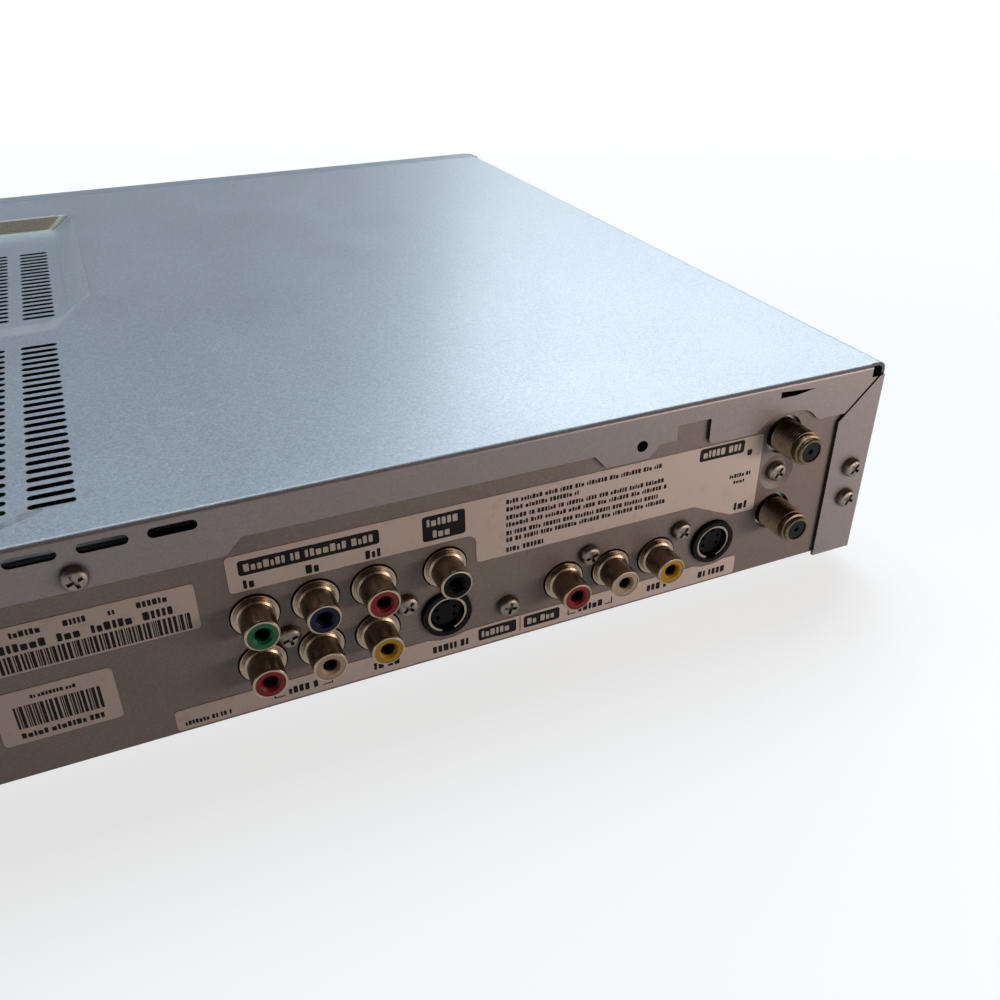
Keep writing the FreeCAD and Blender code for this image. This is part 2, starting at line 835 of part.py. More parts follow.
def phono_shell(distance, drop):
    """Plated barrel with a stepped collar at its root and its tip rolled inwards."""
    x = from_side(distance)
    z = below_top(drop)
    outer = phono_barrel_diameter / 2
    inner = outer - phono_wall
    tip = rear_y + phono_reach
    lip = tip - phono_lip_reach
    wide = phono_collar_diameter / 2
    step = panel_face + phono_collar_reach
    profile = [(jack_face, inner), (jack_face, wide), (step, wide)]
    for diameter, reach in phono_ridges:
        profile += [(step, diameter / 2), (panel_face + reach, diameter / 2)]
        step = panel_face + reach
    profile.append((step + phono_collar_step, outer))
    for degrees in (0, 30, 60, 90):
        angle = math.radians(degrees)
        profile.append((tip - phono_tip_round * (1 - math.sin(angle)),
                        outer - phono_tip_round * (1 - math.cos(angle))))
    profile += [(tip, outer - phono_lip), (lip, outer - phono_lip), (lip, inner)]
    return turned(profile, x, z)


def phono_insert(distance, drop, gap):
    """Coloured ring inside a barrel, stepped under its rolled tip, with a bevelled mouth."""
    outer = phono_barrel_diameter / 2 - phono_wall - gap
    narrow = phono_barrel_diameter / 2 - phono_lip - gap
    tip = rear_y + phono_reach - phono_insert_recess
    shoulder = rear_y + phono_reach - phono_lip_reach - gap
    bore = phono_bore / 2
    floor = jack_face + phono_floor
    profile = ((jack_face, 0), (jack_face, outer), (shoulder, outer), (shoulder, narrow), (tip, narrow),
               (tip, bore + phono_mouth_chamfer), (tip - phono_mouth_chamfer, bore), (floor, bore),
               (floor, 0))
    return turned(profile, from_side(distance), below_top(drop))


def inserts_of(colour):
    """All inserts of one colour."""
    chosen = [point for point in jack_points() if point[2] == colour]
    return [phono_insert(distance, drop, phono_insert_gap) for distance, drop, name in chosen]


def video_socket_cuts(x, z, tip):
    """Ring-shaped groove, sunk core, pin holes and key of a round video socket opening towards +Y."""
    floor = tip - video_socket_depth
    mouth = rod(x, z, tip - video_core_recess, tip + 1, video_ring_diameter)
    groove = rod(x, z, floor, tip, video_ring_diameter).cut(rod(x, z, floor, tip, video_core_diameter))
    cuts = [mouth, groove]
    for dx, dz in ((-2.4, 1.0), (2.4, 1.0), (-2.2, -1.4), (2.2, -1.4)):
        cuts.append(rod(x + dx, z + dz, floor + 1, tip, video_pin_hole))
    cuts.append(box(x - 1.1, x + 1.1, floor + 1, tip, z + 2.6, z + video_core_diameter / 2))
    return cuts


def video_socket_boss(distance, drop):
    """Round boss of a video socket, standing on the face of its block."""
    return rod(from_side(distance), below_top(drop), jack_face - 2, rear_y + video_socket_reach,
               video_socket_diameter)


def panel_video_cuts(distance, drop):
    """Cuts of one video socket on the rear."""
    return video_socket_cuts(from_side(distance), below_top(drop), rear_y + video_socket_reach)


def video_shield(distance, drop):
    """Thin metal ring lining a round socket, open at the bottom."""
    x = from_side(distance)
    z = below_top(drop)
    tip = rear_y + video_socket_reach - 0.3
    floor = rear_y + video_socket_reach - video_socket_depth + slide_gap
    outer = video_ring_diameter - 0.1
    ring = rod(x, z, floor, tip, outer).cut(rod(x, z, floor, tip, outer - 2 * video_ring_wall))
    half = video_key_width / 2
    return ring.cut(box(x - half, x + half, floor - 1, tip + 1, z - outer, z))


def make_jack_shells():
    return group([phono_shell(distance, drop) for distance, drop, colour in jack_points()])


def jack_block(near, far, high, low):
    """Moulded housing behind the panel."""
    return box(from_side(near), from_side(far), jack_face - jack_block_depth, jack_face, below_top(low),
               below_top(high))


def block_screw_holes():
    """Bores of the panel screws in the moulded blocks."""
    return [screw_hole(from_side(distance), panel_face, below_top(drop), Vector(0, 1, 0), screw_length + 1)
            for distance, drop in jack_screws]


def make_output_jack_block():
    low = top_z - jack_board_top
    near = column_a - 2 * phono_pitch - 7
    body = join([jack_block(near, column_a + 8, row_high_drop - 7, low),
                 jack_block(digital_column - 7.4, near, row_high_drop - 7, low),
                 jack_block(108.5, digital_column - 7.4, 42.0, low),
                 video_socket_boss(video_out_column, row_low_drop),
                 phono_insert(digital_column, row_high_drop, phono_insert_gap)])
    return cut(body, panel_video_cuts(video_out_column, row_low_drop) + block_screw_holes())


def make_input_jack_block():
    low = top_z - jack_board_top
    body = join([jack_block(video_in_column - 7.4, input_first_column + 7.4, 35.0, low),
                 video_socket_boss(video_in_column, row_low_drop)])
    return cut(body, panel_video_cuts(video_in_column, row_low_drop) + block_screw_holes())


def make_video_shields():
    return group([video_shield(distance, drop) for distance, drop in video_points()])


def rf_connector(drop):
    """Threaded barrel with a narrower ringed tip."""
    tip = rear_y + rf_reach
    outer = rf_thread_diameter / 2
    start = panel_back - dimple_depth - slide_gap
    face = rf_face_diameter / 2
    thread_end = tip - 2.6
    thread_start = thread_end - rf_thread_count * rf_thread_pitch
    profile = [(start, face), (start, outer), (thread_start, outer)]
    for i in range(rf_thread_count):
        y = thread_start + i * rf_thread_pitch
        profile.append((y + rf_thread_pitch * 0.35, outer - rf_thread_depth))
        profile.append((y + rf_thread_pitch * 0.65, outer - rf_thread_depth))
        profile.append((y + rf_thread_pitch, outer))
    profile += [(thread_end + 0.1, rf_neck_diameter / 2), (thread_end + 0.7, rf_neck_diameter / 2),
                (thread_end + 0.8, rf_ring_diameter / 2), (thread_end + 1.4, rf_ring_diameter / 2),
                (thread_end + 1.6, rf_tip_diameter / 2), (tip - 0.3, rf_tip_diameter / 2),
                (tip, rf_tip_diameter / 2 - 0.3), (tip, face)]
    return turned(profile, from_side(rf_distance), below_top(drop))


def rf_insulator(drop):
    """Plug of insulation with its centre hole."""
    start = panel_back - dimple_depth - slide_gap
    tip = rear_y + rf_reach - 0.3
    x = from_side(rf_distance)
    z = below_top(drop)
    plug = rod(x, z, start, tip, rf_face_diameter - 0.1)
    return plug.cut(rod(x, z, start + 2, tip + 1, rf_centre_hole))


def make_tuner_module():
    face = panel_back - dimple_depth - slide_gap
    x = from_side(rf_distance)
    can = box(x - tuner_width / 2, x + tuner_width / 2, face - tuner_length, face, jack_board_top,
              below_top(rf_high_drop - 7.5))
    ribs = []
    for z in (jack_board_top + 10, jack_board_top + 26):
        ribs.append(box(x - tuner_width / 2 - 0.3, x + tuner_width / 2 + 0.3, face - tuner_length + 6,
                        face - 6, z, z + 2))
    hole = screw_hole(from_side(tuner_screw[0]), panel_face, below_top(tuner_screw[1]), Vector(0, 1, 0),
                      screw_length + 1)
    return join([can] + ribs).cut(hole)


def make_ac_inlet():
    x = from_side(inlet_distance)
    z = below_top(inlet_drop)
    w = inlet_body_width / 2
    h = inlet_body_height / 2
    body = front_plate(x - w, x + w, z - h, z + h, 1.5, panel_face - inlet_body_depth,
                       panel_face + inlet_flange_sheet)
    wide, tall = w + inlet_flange, h + inlet_flange
    flange = front_plate(x - wide, x + wide, z - tall, z + tall, 2.0, panel_face,
                         panel_face + inlet_flange_sheet)
    face = panel_face + inlet_flange_sheet
    half_w = inlet_mouth_width / 2
    half_h = inlet_mouth_height / 2
    mouth = front_plate(x - half_w, x + half_w, z - half_h, z + half_h, half_h - 0.1,
                        face - inlet_mouth_depth, face + 1)
    pins = [rod(x + s * inlet_pin_pitch / 2, z, face - inlet_mouth_depth - inlet_pin_root, face,
                inlet_pin_diameter) for s in (-1, 1)]
    return cut(join([body, flange]), [mouth] + pins)


def make_ac_inlet_pins():
    x = from_side(inlet_distance)
    z = below_top(inlet_drop)
    start = panel_face + inlet_flange_sheet - inlet_mouth_depth - inlet_pin_root
    end = start + inlet_pin_root + inlet_pin_length
    return group([rod(x + s * inlet_pin_pitch / 2, z, start, end, inlet_pin_diameter - 0.02)
                  for s in (-1, 1)])


# Fan

def make_fan_frame():
    x = from_side(fan_distance)
    z = below_top(fan_drop)
    half = fan_size / 2
    y1 = panel_back
    y0 = y1 - fan_thickness
    frame = front_plate(x - half, x + half, z - half, z + half, 3, y0, y1)
    frame = frame.cut(rod(x, z, y0 - 1, y1 + 1, fan_bore))
    spokes = [box(x - half + 1, x + half - 1, y0, y0 + 1.5, z - 1.2, z + 1.2),
              box(x - 1.2, x + 1.2, y0, y0 + 1.5, z - half + 1, z + half - 1)]
    motor_seat = rod(x, z, y0, y0 + 1.5, fan_hub)
    pin = rod(x, z, y0, y1 - 2, fan_post)
    holes = [screw_hole(px, y1, pz, Vector(0, 1, 0), fan_thickness + 1) for px, pz in fan_screw_points()]
    return cut(join([frame, motor_seat, pin] + spokes), holes)


def make_fan_rotor():
    x = from_side(fan_distance)
    z = below_top(fan_drop)
    y1 = panel_back - 1.2
    y0 = panel_back - fan_thickness + 1.5 + fit_gap
    hub = rod(x, z, y0, y1, fan_hub)
    blades = []
    reach = fan_bore / 2 - fan_tip_gap
    for i in range(fan_blade_count):
        blade = box(-fan_blade_sheet / 2, fan_blade_sheet / 2, -(y1 - y0 - 1) / 2, (y1 - y0 - 1) / 2,
                    fan_hub / 2 - 1, reach - 0.6)
        blade.rotate(Vector(0, 0, 0), Vector(0, 0, 1), 30)
        blade.translate(Vector(0, (y0 + y1) / 2, 0))
        blade.rotate(Vector(0, 0, 0), Vector(0, 1, 0), i * 360 / fan_blade_count)
        blade.translate(Vector(x, 0, z))
        blades.append(blade)
    rotor = join([hub] + blades)
    rotor = rotor.common(rod(x, z, y0, y1, 2 * reach))
    return rotor.cut(rod(x, z, y0 - 1, panel_back - 2 + pin_gap + 0.2, fan_post + 2 * pin_gap))


# Base, feet and screws

def board_posts():
    """Threaded posts under the boards, as (x, y, height)."""
    places = [(x, y, board_lift) for x in (16.0, 194.0) for y in (front_y + 45, front_y + 160)]
    places += [(x, y, board_lift) for x in (108.0, 198.0) for y in (front_y + 184, front_y + 284)]
    places += [(x, y, jack_board_lift) for x in (-196.0, -24.0) for y in (rear_y - 76, rear_y - 24)]
    return places


def drive_feet():
    """Posts that carry the disc drive, as (x, y)."""
    reach = drive_width / 2 + 5
    return [(drive_x + s * reach, y) for s in (-1, 1) for y in (drive_front + 24, drive_back - 24)]


def foot_places():
    """Centres of the feet, seen from above."""
    return [(s * (half_width - 38), y) for s in (-1, 1) for y in (front_y + 36, rear_y - 40)]


def make_base_chassis():
    wall = half_width - sheet - slide_gap
    plate = box(-wall, wall, bezel_back, panel_back, foot_height, floor_z)
    walls = []
    for side in (-1, 1):
        x0, x1 = sorted((side * wall, side * (wall - base_sheet)))
        walls.append(box(x0, x1, bezel_back + 4, panel_back, foot_height, floor_z + 26))
    beads = []
    for x in (-160.0, -100.0, -40.0):
        beads.append(box(x - 3, x + 3, drive_front + 50, drive_back - 40, foot_height + 0.4, floor_z + 1))
    chassis = join([plate] + walls + beads)
    tools = []
    for x, y in [place[:2] for place in board_posts()] + drive_feet():
        tools.append(post(x, y, 0, drive_bottom, stud_diameter))
    for x, y in foot_places():
        tools.append(screw_hole(x, y, foot_height, Vector(0, 0, 1), 3))
    for row in range(6):
        for column in range(3):
            tools.append(vent_slot(120.0 + column * 26, front_y + 200 + row * 12, 0, floor_z + 1, 18, 3))
    return cut(chassis, tools)


def standoff(x, y, top, diameter):
    """Threaded post pressed into the base by its narrower end."""
    body = post(x, y, floor_z, top, diameter)
    stud = post(x, y, foot_height + 0.1, floor_z + 0.5, stud_diameter)
    return join([body, stud]).cut(screw_hole(x, y, top, Vector(0, 0, 1), top - foot_height))


def make_standoffs():
    posts = [standoff(x, y, floor_z + height, post_diameter) for x, y, height in board_posts()]
    posts += [standoff(x, y, drive_bottom, post_diameter + 2) for x, y in drive_feet()]
    return group(posts)


def make_feet():
    feet = []
    for x, y in foot_places():
        body = turned_up(((foot_height, 0), (foot_height, 13), (1.2, 14.5), (0, 13.3), (0, 9.5), (1.5, 9),
                          (1.5, 0)), x, y)
        pin = post(x, y, foot_height - 0.5, floor_z + 2, screw_shank_diameter)
        feet.append(join([body, pin]))
    return group(feet)


def make_case_screws():
    """Screws of the cover, the sockets, the tuner and the fan, all of one kind."""
    rear = Vector(0, 1, 0)
    screws = []
    turn = 20
    for distance, drop in cover_screw_rear:
        screws.append(screw_at(from_side(distance), rear_y, below_top(drop), rear, turn))
    for drop in side_flange_screw_drops:
        for x in (from_side(side_flange_screw_inset), -from_side(side_flange_screw_inset)):
            screws.append(screw_at(x, rear_y, below_top(drop), rear, turn + drop))
    for i, (distance, drop) in enumerate(jack_screws):
        screws.append(screw_at(from_side(distance), panel_face, below_top(drop), rear, 15 + 31 * i))
    screws.append(screw_at(from_side(tuner_screw[0]), panel_face - dimple_depth, below_top(tuner_screw[1]),
                           rear, 52))
    for x, z in fan_screw_points():
        screws.append(screw_at(x, panel_face, z, rear, 10))
    return group(screws)


def make_chassis_screws():
    up = Vector(0, 0, 1)
    screws = [screw_at(x, y, floor_z + height + board_sheet, up, 30) for x, y, height in board_posts()]
    screws += [screw_at(x, y, drive_bottom + loader_floor, up, 12) for x, y in drive_feet()]
    return group(screws)


# Boards

def board(x0, x1, y0, y1, z0):
    """Circuit board with the holes of its screws."""
    plate = box(x0, x1, y0, y1, z0, z0 + board_sheet)
    holes = [screw_hole(x, y, z0, Vector(0, 0, 1), 4) for x, y, height in board_posts()
             if x0 < x < x1 and y0 < y < y1]
    return cut(plate, holes)


def make_main_board():
    y0 = front_y + main_board_set_back
    y1 = y0 + main_board_depth
    plate = board(main_board_near, main_board_far, y0, y1, board_z)
    top = board_z + board_sheet
    sockets = [box(30, 60, y1 - 9, y1 - 3, top, top + socket_height),
               box(78, 93, y1 - 9, y1 - 3, top, top + socket_height),
               box(14, 20, y0 + 30, y0 + 64, top, top + socket_height),
               box(120, 150, y0 + 3, y0 + 9, top, top + socket_height)]
    return join([plate] + sockets)


def make_main_chips():
    top = board_z + board_sheet
    chips = []
    for x, set_back, size in main_chips:
        y = front_y + set_back
        chips.append(box(x - size / 2, x + size / 2, y - size / 2, y + size / 2, top, top + chip_sheet))
    return group(chips)


def make_power_board():
    """Board of the supply with its finned heat sink, its lead socket and its fuse holder."""
    y0 = front_y + power_board_set_back
    y1 = y0 + power_board_depth
    plate = board(power_board_near, power_board_far, y0, y1, board_z)
    top = board_z + board_sheet
    sink = [box(116, 118, y0 + 30, y0 + 76, top, top + heat_sink_height)]
    for i in range(fin_count):
        y = y0 + 32 + i * fin_pitch
        sink.append(box(118, 126, y, y + fin_sheet, top + 2, top + heat_sink_height))
    socket = box(103, 109, y0 + 28, y0 + 56, top, top + socket_height + 1)
    fuse_holder = box(182, 190, y1 - 44, y1 - 18, top, top + 7)
    return join([plate, socket, fuse_holder] + sink)


def make_transformer():
    """Ferrite frame with a winding through it, on four short legs."""
    top = board_z + board_sheet
    x, y = transformer_x, front_y + transformer_set_back
    core = box(x - 16, x + 16, y - 11, y + 11, top + 3, top + 27)
    winding = box(x - 11, x + 11, y - 15, y + 15, top + 7, top + 23)
    legs = [box(x + a * 12 - 2, x + a * 12 + 2, y + b * 8 - 2, y + b * 8 + 2, top, top + 3)
            for a in (-1, 1) for b in (-1, 1)]
    return join([core, winding] + legs)


def make_capacitors():
    top = board_z + board_sheet
    cans = []
    for x, set_back, d, h in capacitors:
        y = front_y + set_back
        can = post(x, y, top, top + h, d)
        groove = post(x, y, top + 3, top + 4, d + 1).cut(post(x, y, top + 3, top + 4, d - 0.8))
        cans.append(can.cut(groove))
    return group(cans)


def make_jack_board():
    x0, x1 = from_side(jack_board_near), from_side(jack_board_far)
    y0, y1 = panel_back - jack_board_depth, panel_back - slide_gap - fit_gap
    plate = board(x0, x1, y0, y1 - jack_board_tongue, jack_board_z)
    tongue = box(x0 + 4, x1 - 4, y1 - jack_board_tongue - 0.5, y1, jack_board_z, jack_board_top)
    socket = box(jack_ribbon_x - 3, jack_ribbon_x + 3, y0 + 4, y0 + 34, jack_board_top,
                 jack_board_top + socket_height)
    chips = [box(x, x + 12, y0 + 24, y0 + 36, jack_board_top, jack_board_top + chip_sheet)
             for x in (-160.0, -140.0, -120.0, -90.0)]
    return join([plate, tongue, socket] + chips)


# Front

def button_places():
    """Round and oblong push buttons, as name: (x, z, width, height)."""
    places = {"power_button": power_button_place + (power_button_diameter, power_button_diameter),
              "open_close_button": (open_button_x, door_centre_height + open_button_rise, open_button_width,
                                    open_button_height)}
    for i, name in enumerate(("record_button", "stop_button", "play_button")):
        places[name] = (record_button_x + i * button_spacing, button_row_height, small_button, small_button)
    return places


def button_outline(x, z, width, height, grow, y0, y1):
    """Button section, round at its ends, grown by a clearance."""
    if abs(width - height) < 1e-6:
        return rod(x, z, y0, y1, width + 2 * grow)
    w = width / 2 + grow
    h = height / 2 + grow
    return front_plate(x - w, x + w, z - h, z + h, min(w, h) - 0.01, y0, y1)


def make_button(x, z, width, height):
    cap_back = front_y + bezel_wall + fit_gap
    flange_back = cap_back + button_flange_sheet
    stem_back = switch_front() - button_travel - 0.1
    cap = button_outline(x, z, width, height, 0.0, front_y - button_proud, cap_back)
    edges = [edge for edge in cap.Edges if edge.BoundBox.YMax < front_y - button_proud + 1e-3]
    cap = cap.makeFillet(cap_edge_round, edges)
    flange = button_outline(x, z, width, height, button_flange, cap_back, flange_back)
    stem = rod(x, z, flange_back, stem_back, button_stem)
    return join([cap, flange, stem])


def switch_front():
    """Y of the tip of a switch's plunger."""
    return display_board_y - switch_height - switch_plunger_height


def make_channel_rocker():
    """Rocker key with its own pivot stubs."""
    x, z = rocker_x, rocker_z
    w = rocker_width / 2
    h = rocker_height / 2
    cap = front_plate(x - w, x + w, z - h, z + h, 3, front_y - button_proud, front_y + bezel_wall + 1)
    middle = box(x - w, x + w, front_y + bezel_wall, front_y + 6.2, z - 2, z + 2)
    stubs = bar(rocker_axis_y, z, x - w - 1.8, x + w + 1.8, flap_pin_diameter)
    legs = []
    for leg_z in (z - rocker_leg_offset, z + rocker_leg_offset):
        legs.append(box(x - 1.5, x + 1.5, front_y + bezel_wall, switch_front() - 0.5, leg_z - 1.5,
                        leg_z + 1.5))
    return join([cap, middle, stubs] + legs)


def rocker_ears():
    """Bezel ears that hold the rocker's stubs."""
    ears = []
    for side in (-1, 1):
        near = rocker_x + side * (rocker_width / 2 + 0.8)
        x0, x1 = sorted((near, near + side * 2.4))
        ear = box(x0, x1, front_y + bezel_wall - 0.5, rocker_axis_y + 2.4, rocker_z - 2.2, rocker_z + 2.2)
        ears.append(ear.cut(bar(rocker_axis_y, rocker_z, x0 - 1, x1 + 1, flap_pin_diameter + 2 * pin_gap)))
    return ears


def make_front_flap():
    x0 = flap_left + fit_gap
    x1 = flap_left + flap_width - fit_gap
    plate = side_prism(((front_y, flap_axis_z, 0), (front_y + flap_sheet, flap_axis_z, 0),
                        (front_y + flap_sheet, flap_top, 0.4), (front_y, flap_top, 0.8)), x0, x1)
    barrel = bar(flap_axis_y, flap_axis_z, x0, x1, 2 * flap_barrel_radius)
    pins = bar(flap_axis_y, flap_axis_z, x0 - flap_pin_length, x1 + flap_pin_length, flap_pin_diameter)
    grip = box((x0 + x1) / 2 - 12, (x0 + x1) / 2 + 12, front_y + flap_sheet - 0.1, front_y + flap_sheet + 1,
               flap_top - 3, flap_top - 1.5)
    return join([plate, barrel, pins, grip])


def flap_ears():
    """Bezel blocks beside the flap that take its pins."""
    ears = []
    for side, edge in ((-1, flap_left), (1, flap_left + flap_width)):
        x0, x1 = sorted((edge, edge + side * 4.5))
        ears.append(box(x0, x1, front_y + 0.6, front_y + 6, flap_axis_z - 2.9, flap_axis_z + 3.2))
    return ears


def make_front_bezel():
    z0 = foot_height - cover_skirt
    block = box(-half_width, half_width, front_y, bezel_back, z0, top_z)
    upright = [e for e in block.Edges if e.BoundBox.ZLength > 10 and e.BoundBox.YMax < front_y + 1e-3]
    block = block.makeFillet(bezel_corner_radius, upright)
    rim = [e for e in block.Edges if e.BoundBox.ZMin > top_z - 1e-3 and e.BoundBox.YMin < bezel_back - 1e-3
           and e.BoundBox.XLength > 1e-3 and e.BoundBox.YMax < bezel_back - 1e-3]
    block = block.makeFillet(bezel_top_radius, rim)
    wall = bezel_wall
    hollow = box(-half_width + wall, half_width - wall, front_y + wall, bezel_back + 1, z0 + wall,
                 top_z - wall)
    inner = [e for e in hollow.Edges if e.BoundBox.ZLength > 10 and e.BoundBox.YMax < front_y + wall + 1e-3]
    hollow = hollow.makeFillet(bezel_corner_radius - wall, inner)
    bezel = block.cut(hollow)
    half_door = door_width / 2 + door_gap
    door_low = door_centre_height - door_height / 2 - door_gap
    door_high = door_centre_height + door_height / 2 + door_gap
    ring = front_plate(drive_x - half_door - 2, drive_x + half_door + 2, door_low - 2, door_high + 2, 2,
                       front_y + wall - 0.5, front_y + 7)
    posts = [rod(x, z, front_y + wall - 0.5, display_board_y, 5) for x, z in display_post_places()]
    flap_back = front_y + 5
    bezel = join([bezel, ring] + posts + flap_ears() + rocker_ears())
    tools = [front_plate(drive_x - half_door, drive_x + half_door, door_low, door_high, 0.8, front_y - 1,
                         front_y + 9)]
    tools.append(front_plate(window_left, window_left + window_width,
                             window_centre_height - window_height / 2,
                             window_centre_height + window_height / 2, 0.8, front_y - 1, front_y + wall + 1))
    tools.append(box(flap_left, flap_left + flap_width, front_y - 1, flap_back, flap_bottom - fit_gap,
                     flap_top + fit_gap))
    tools.append(bar(flap_axis_y, flap_axis_z, flap_left - flap_pin_length - 0.3,
                     flap_left + flap_width + flap_pin_length + 0.3, flap_pin_diameter + 2 * pin_gap))
    for x, z, width, height in button_places().values():
        tools.append(button_outline(x, z, width, height, fit_gap, front_y - 1, front_y + wall + 1))
    tools.append(front_plate(rocker_x - rocker_width / 2 - fit_gap, rocker_x + rocker_width / 2 + fit_gap,
                             rocker_z - rocker_height / 2 - fit_gap, rocker_z + rocker_height / 2 + fit_gap,
                             3, front_y - 1, front_y + wall + 0.01))
    return cut(bezel, tools)


def display_post_places():
    """Bosses of the bezel that carry the display board."""
    return ((-18.0, 60.5), (60.0, 33.2), (176.0, 33.2), (-20.0, 12.5), (176.0, 60.5), (60.0, 12.0))


def make_display_window():
    wall = bezel_wall
    gap = slide_gap
    z0 = window_centre_height - window_height / 2
    z1 = window_centre_height + window_height / 2
    plate = front_plate(window_left + gap, window_left + window_width - gap, z0 + gap, z1 - gap, 0.8,
                        front_y + 0.1, front_y + wall)
    lip = front_plate(window_left - window_lip, window_left + window_width + window_lip, z0 - window_lip,
                      z1 + window_lip, 1, front_y + wall, front_y + wall + 1)
    return join([plate, lip])


def make_tray_front():
    half = door_width / 2
    low = door_centre_height - door_height / 2
    high = door_centre_height + door_height / 2
    door = front_plate(drive_x - half, drive_x + half, low, high, 0.8, front_y, front_y + door_thickness)
    back = front_y + door_thickness
    rib = box(drive_x - half + 6, drive_x + half - 6, back, back + 1.5, low + 1, tray_bottom - fit_gap)
    edges = [e for e in door.Edges if e.BoundBox.YMax < front_y + 1e-3]
    return join([door.makeFillet(cap_edge_round, edges), rib])


def make_display_board():
    y0 = display_board_y
    y1 = y0 + board_sheet
    near, far = display_board_near, display_board_far
    low, middle, high = display_board_low, display_board_middle, display_board_high
    parts = [box(near, far, y0, y1, middle, high), box(near, display_board_notch_near, y0, y1, low, middle),
             box(display_board_notch_far, far, y0, y1, low, middle)]
    points = [(x, z) for x, z, width, height in button_places().values()]
    points += [(rocker_x, rocker_z + s * rocker_leg_offset) for s in (-1, 1)]
    for x, z in points:
        half = switch_body / 2
        parts.append(box(x - half, x + half, y0 - switch_height, y0, z - half, z + half))
        parts.append(rod(x, z, switch_front(), y0 - switch_height + 0.1, switch_plunger))
    return join(parts)


def make_vfd_display():
    x0, x1 = display_near, display_far
    z0, z1 = display_low, display_high
    glass = box(x0, x1, front_y + 5.5, display_board_y, z0, z1)
    tip = bar(front_y + 8.5, (z0 + z1) / 2, x1 - 0.5, x1 + 3, 3)
    return join([glass, tip])


def make_front_input_block():
    """Sockets behind the flap, on a small board of their own."""
    y0 = front_y + 8
    y1 = y0 + 14
    x0, x1 = flap_left + 8, flap_left + flap_width - 8
    body = box(x0, x1, y0, y1, 10.0, 28.0)
    board_plate = box(x0 - 2, x1 + 2, y0 + 2, y1 + 14, 10.0 - board_sheet, 10.0)
    foot = [box(x, x + 6, y1 + 4, y1 + 12, floor_z, 10.0 - board_sheet) for x in (x0, x1 - 6)]
    parts = [body, board_plate] + foot
    tools = []
    z = front_socket_height
    for i in range(3):
        x = x0 + front_socket_first + i * phono_pitch
        barrel = rod(x, z, front_y + 3.4, y0 + 1, phono_barrel_diameter)
        parts.append(barrel)
        tools.append(rod(x, z, front_y + 3, y0 + 4, phono_bore))
    x = x0 + front_socket_first + 3 * phono_pitch + 4
    tip = front_y + 5
    parts.append(rod(x, z, tip, y0 + 1, video_socket_diameter))
    for shape in video_socket_cuts(x, z, -tip):
        tools.append(shape.mirror(Vector(0, 0, 0), Vector(0, 1, 0)))
    return cut(join(parts), tools)


# Disc drive

def make_loader_frame():
    half = drive_width / 2
    y0, y1 = drive_front, drive_back
    z0 = drive_bottom
    parts = []
    for s in (-1, 1):
        x0, x1 = sorted((drive_x + s * half, drive_x + s * (half - loader_wall)))
        parts.append(box(x0, x1, y0, y1, z0, drive_top))
        x0, x1 = sorted((drive_x + s * (half - loader_wall + 0.5), drive_x + s * (tray_width / 2 - 5)))
        parts.append(box(x0, x1, y0 + 2, y1 - 3, tray_bottom - fit_gap - 2.2, tray_bottom - fit_gap))
        for y in (y0 + 12, y0 + 80):
            parts.append(box(x0, x1, y, y + 14, tray_top + 0.4, tray_top + 2))
    for x, y in drive_feet():
        parts.append(box(x - 5, x + 5, y - 5, y + 5, z0, z0 + loader_floor))
    floor = box(drive_x - half, drive_x + half, y0, y1, z0, z0 + loader_floor)
    well = box(drive_x - traverse_left + 4, drive_x + traverse_right - 4, disc_y - traverse_front + 6,
               disc_y + traverse_rear - 12, z0 - 1, z0 + loader_floor + 1)
    parts.append(floor.cut(well))
    parts.append(box(drive_x - half, drive_x + half, y0, y0 + 3, z0, tray_bottom - 5))
    parts.append(box(drive_x - half, drive_x + half, y1 - 3, y1, z0, drive_top))
    gear_x, gear_y = gear_place()
    parts.append(post(gear_x, gear_y, z0, tray_bottom - 0.6, 4))
    pivot_y = disc_y + traverse_pivot_back
    pivot_z = traverse_bottom - traverse_pivot_drop
    for x0, x1 in pivot_ear_spans():
        parts.append(box(x0, x1, pivot_y - 4, pivot_y + 4, z0, pivot_z + 4))
    frame = join(parts)
    tools = [bar(pivot_y, pivot_z, drive_x - traverse_left - 5, drive_x + traverse_right + 5,
                 traverse_pivot_diameter + 2 * pin_gap)]
    for x, y in drive_feet():
        tools.append(screw_hole(x, y, z0, Vector(0, 0, 1), 5))
    motor_x, motor_y = loading_motor_place()
    tools.append(post(motor_x, motor_y, z0 - 1, z0 + loader_floor + 1, 6))
    return cut(frame, tools)


def pivot_ear_spans():
    """X spans of the two ears that hold the traverse's pivot stubs."""
    return ((drive_x - traverse_left - 4.5, drive_x - traverse_left - 0.5),
            (drive_x + traverse_right + 0.5, drive_x + traverse_right + 4.5))


def gear_place():
    return drive_x + gear_offset, drive_front + gear_set_back


def loading_motor_place():
    return drive_x + loading_motor_offset, drive_front + gear_set_back


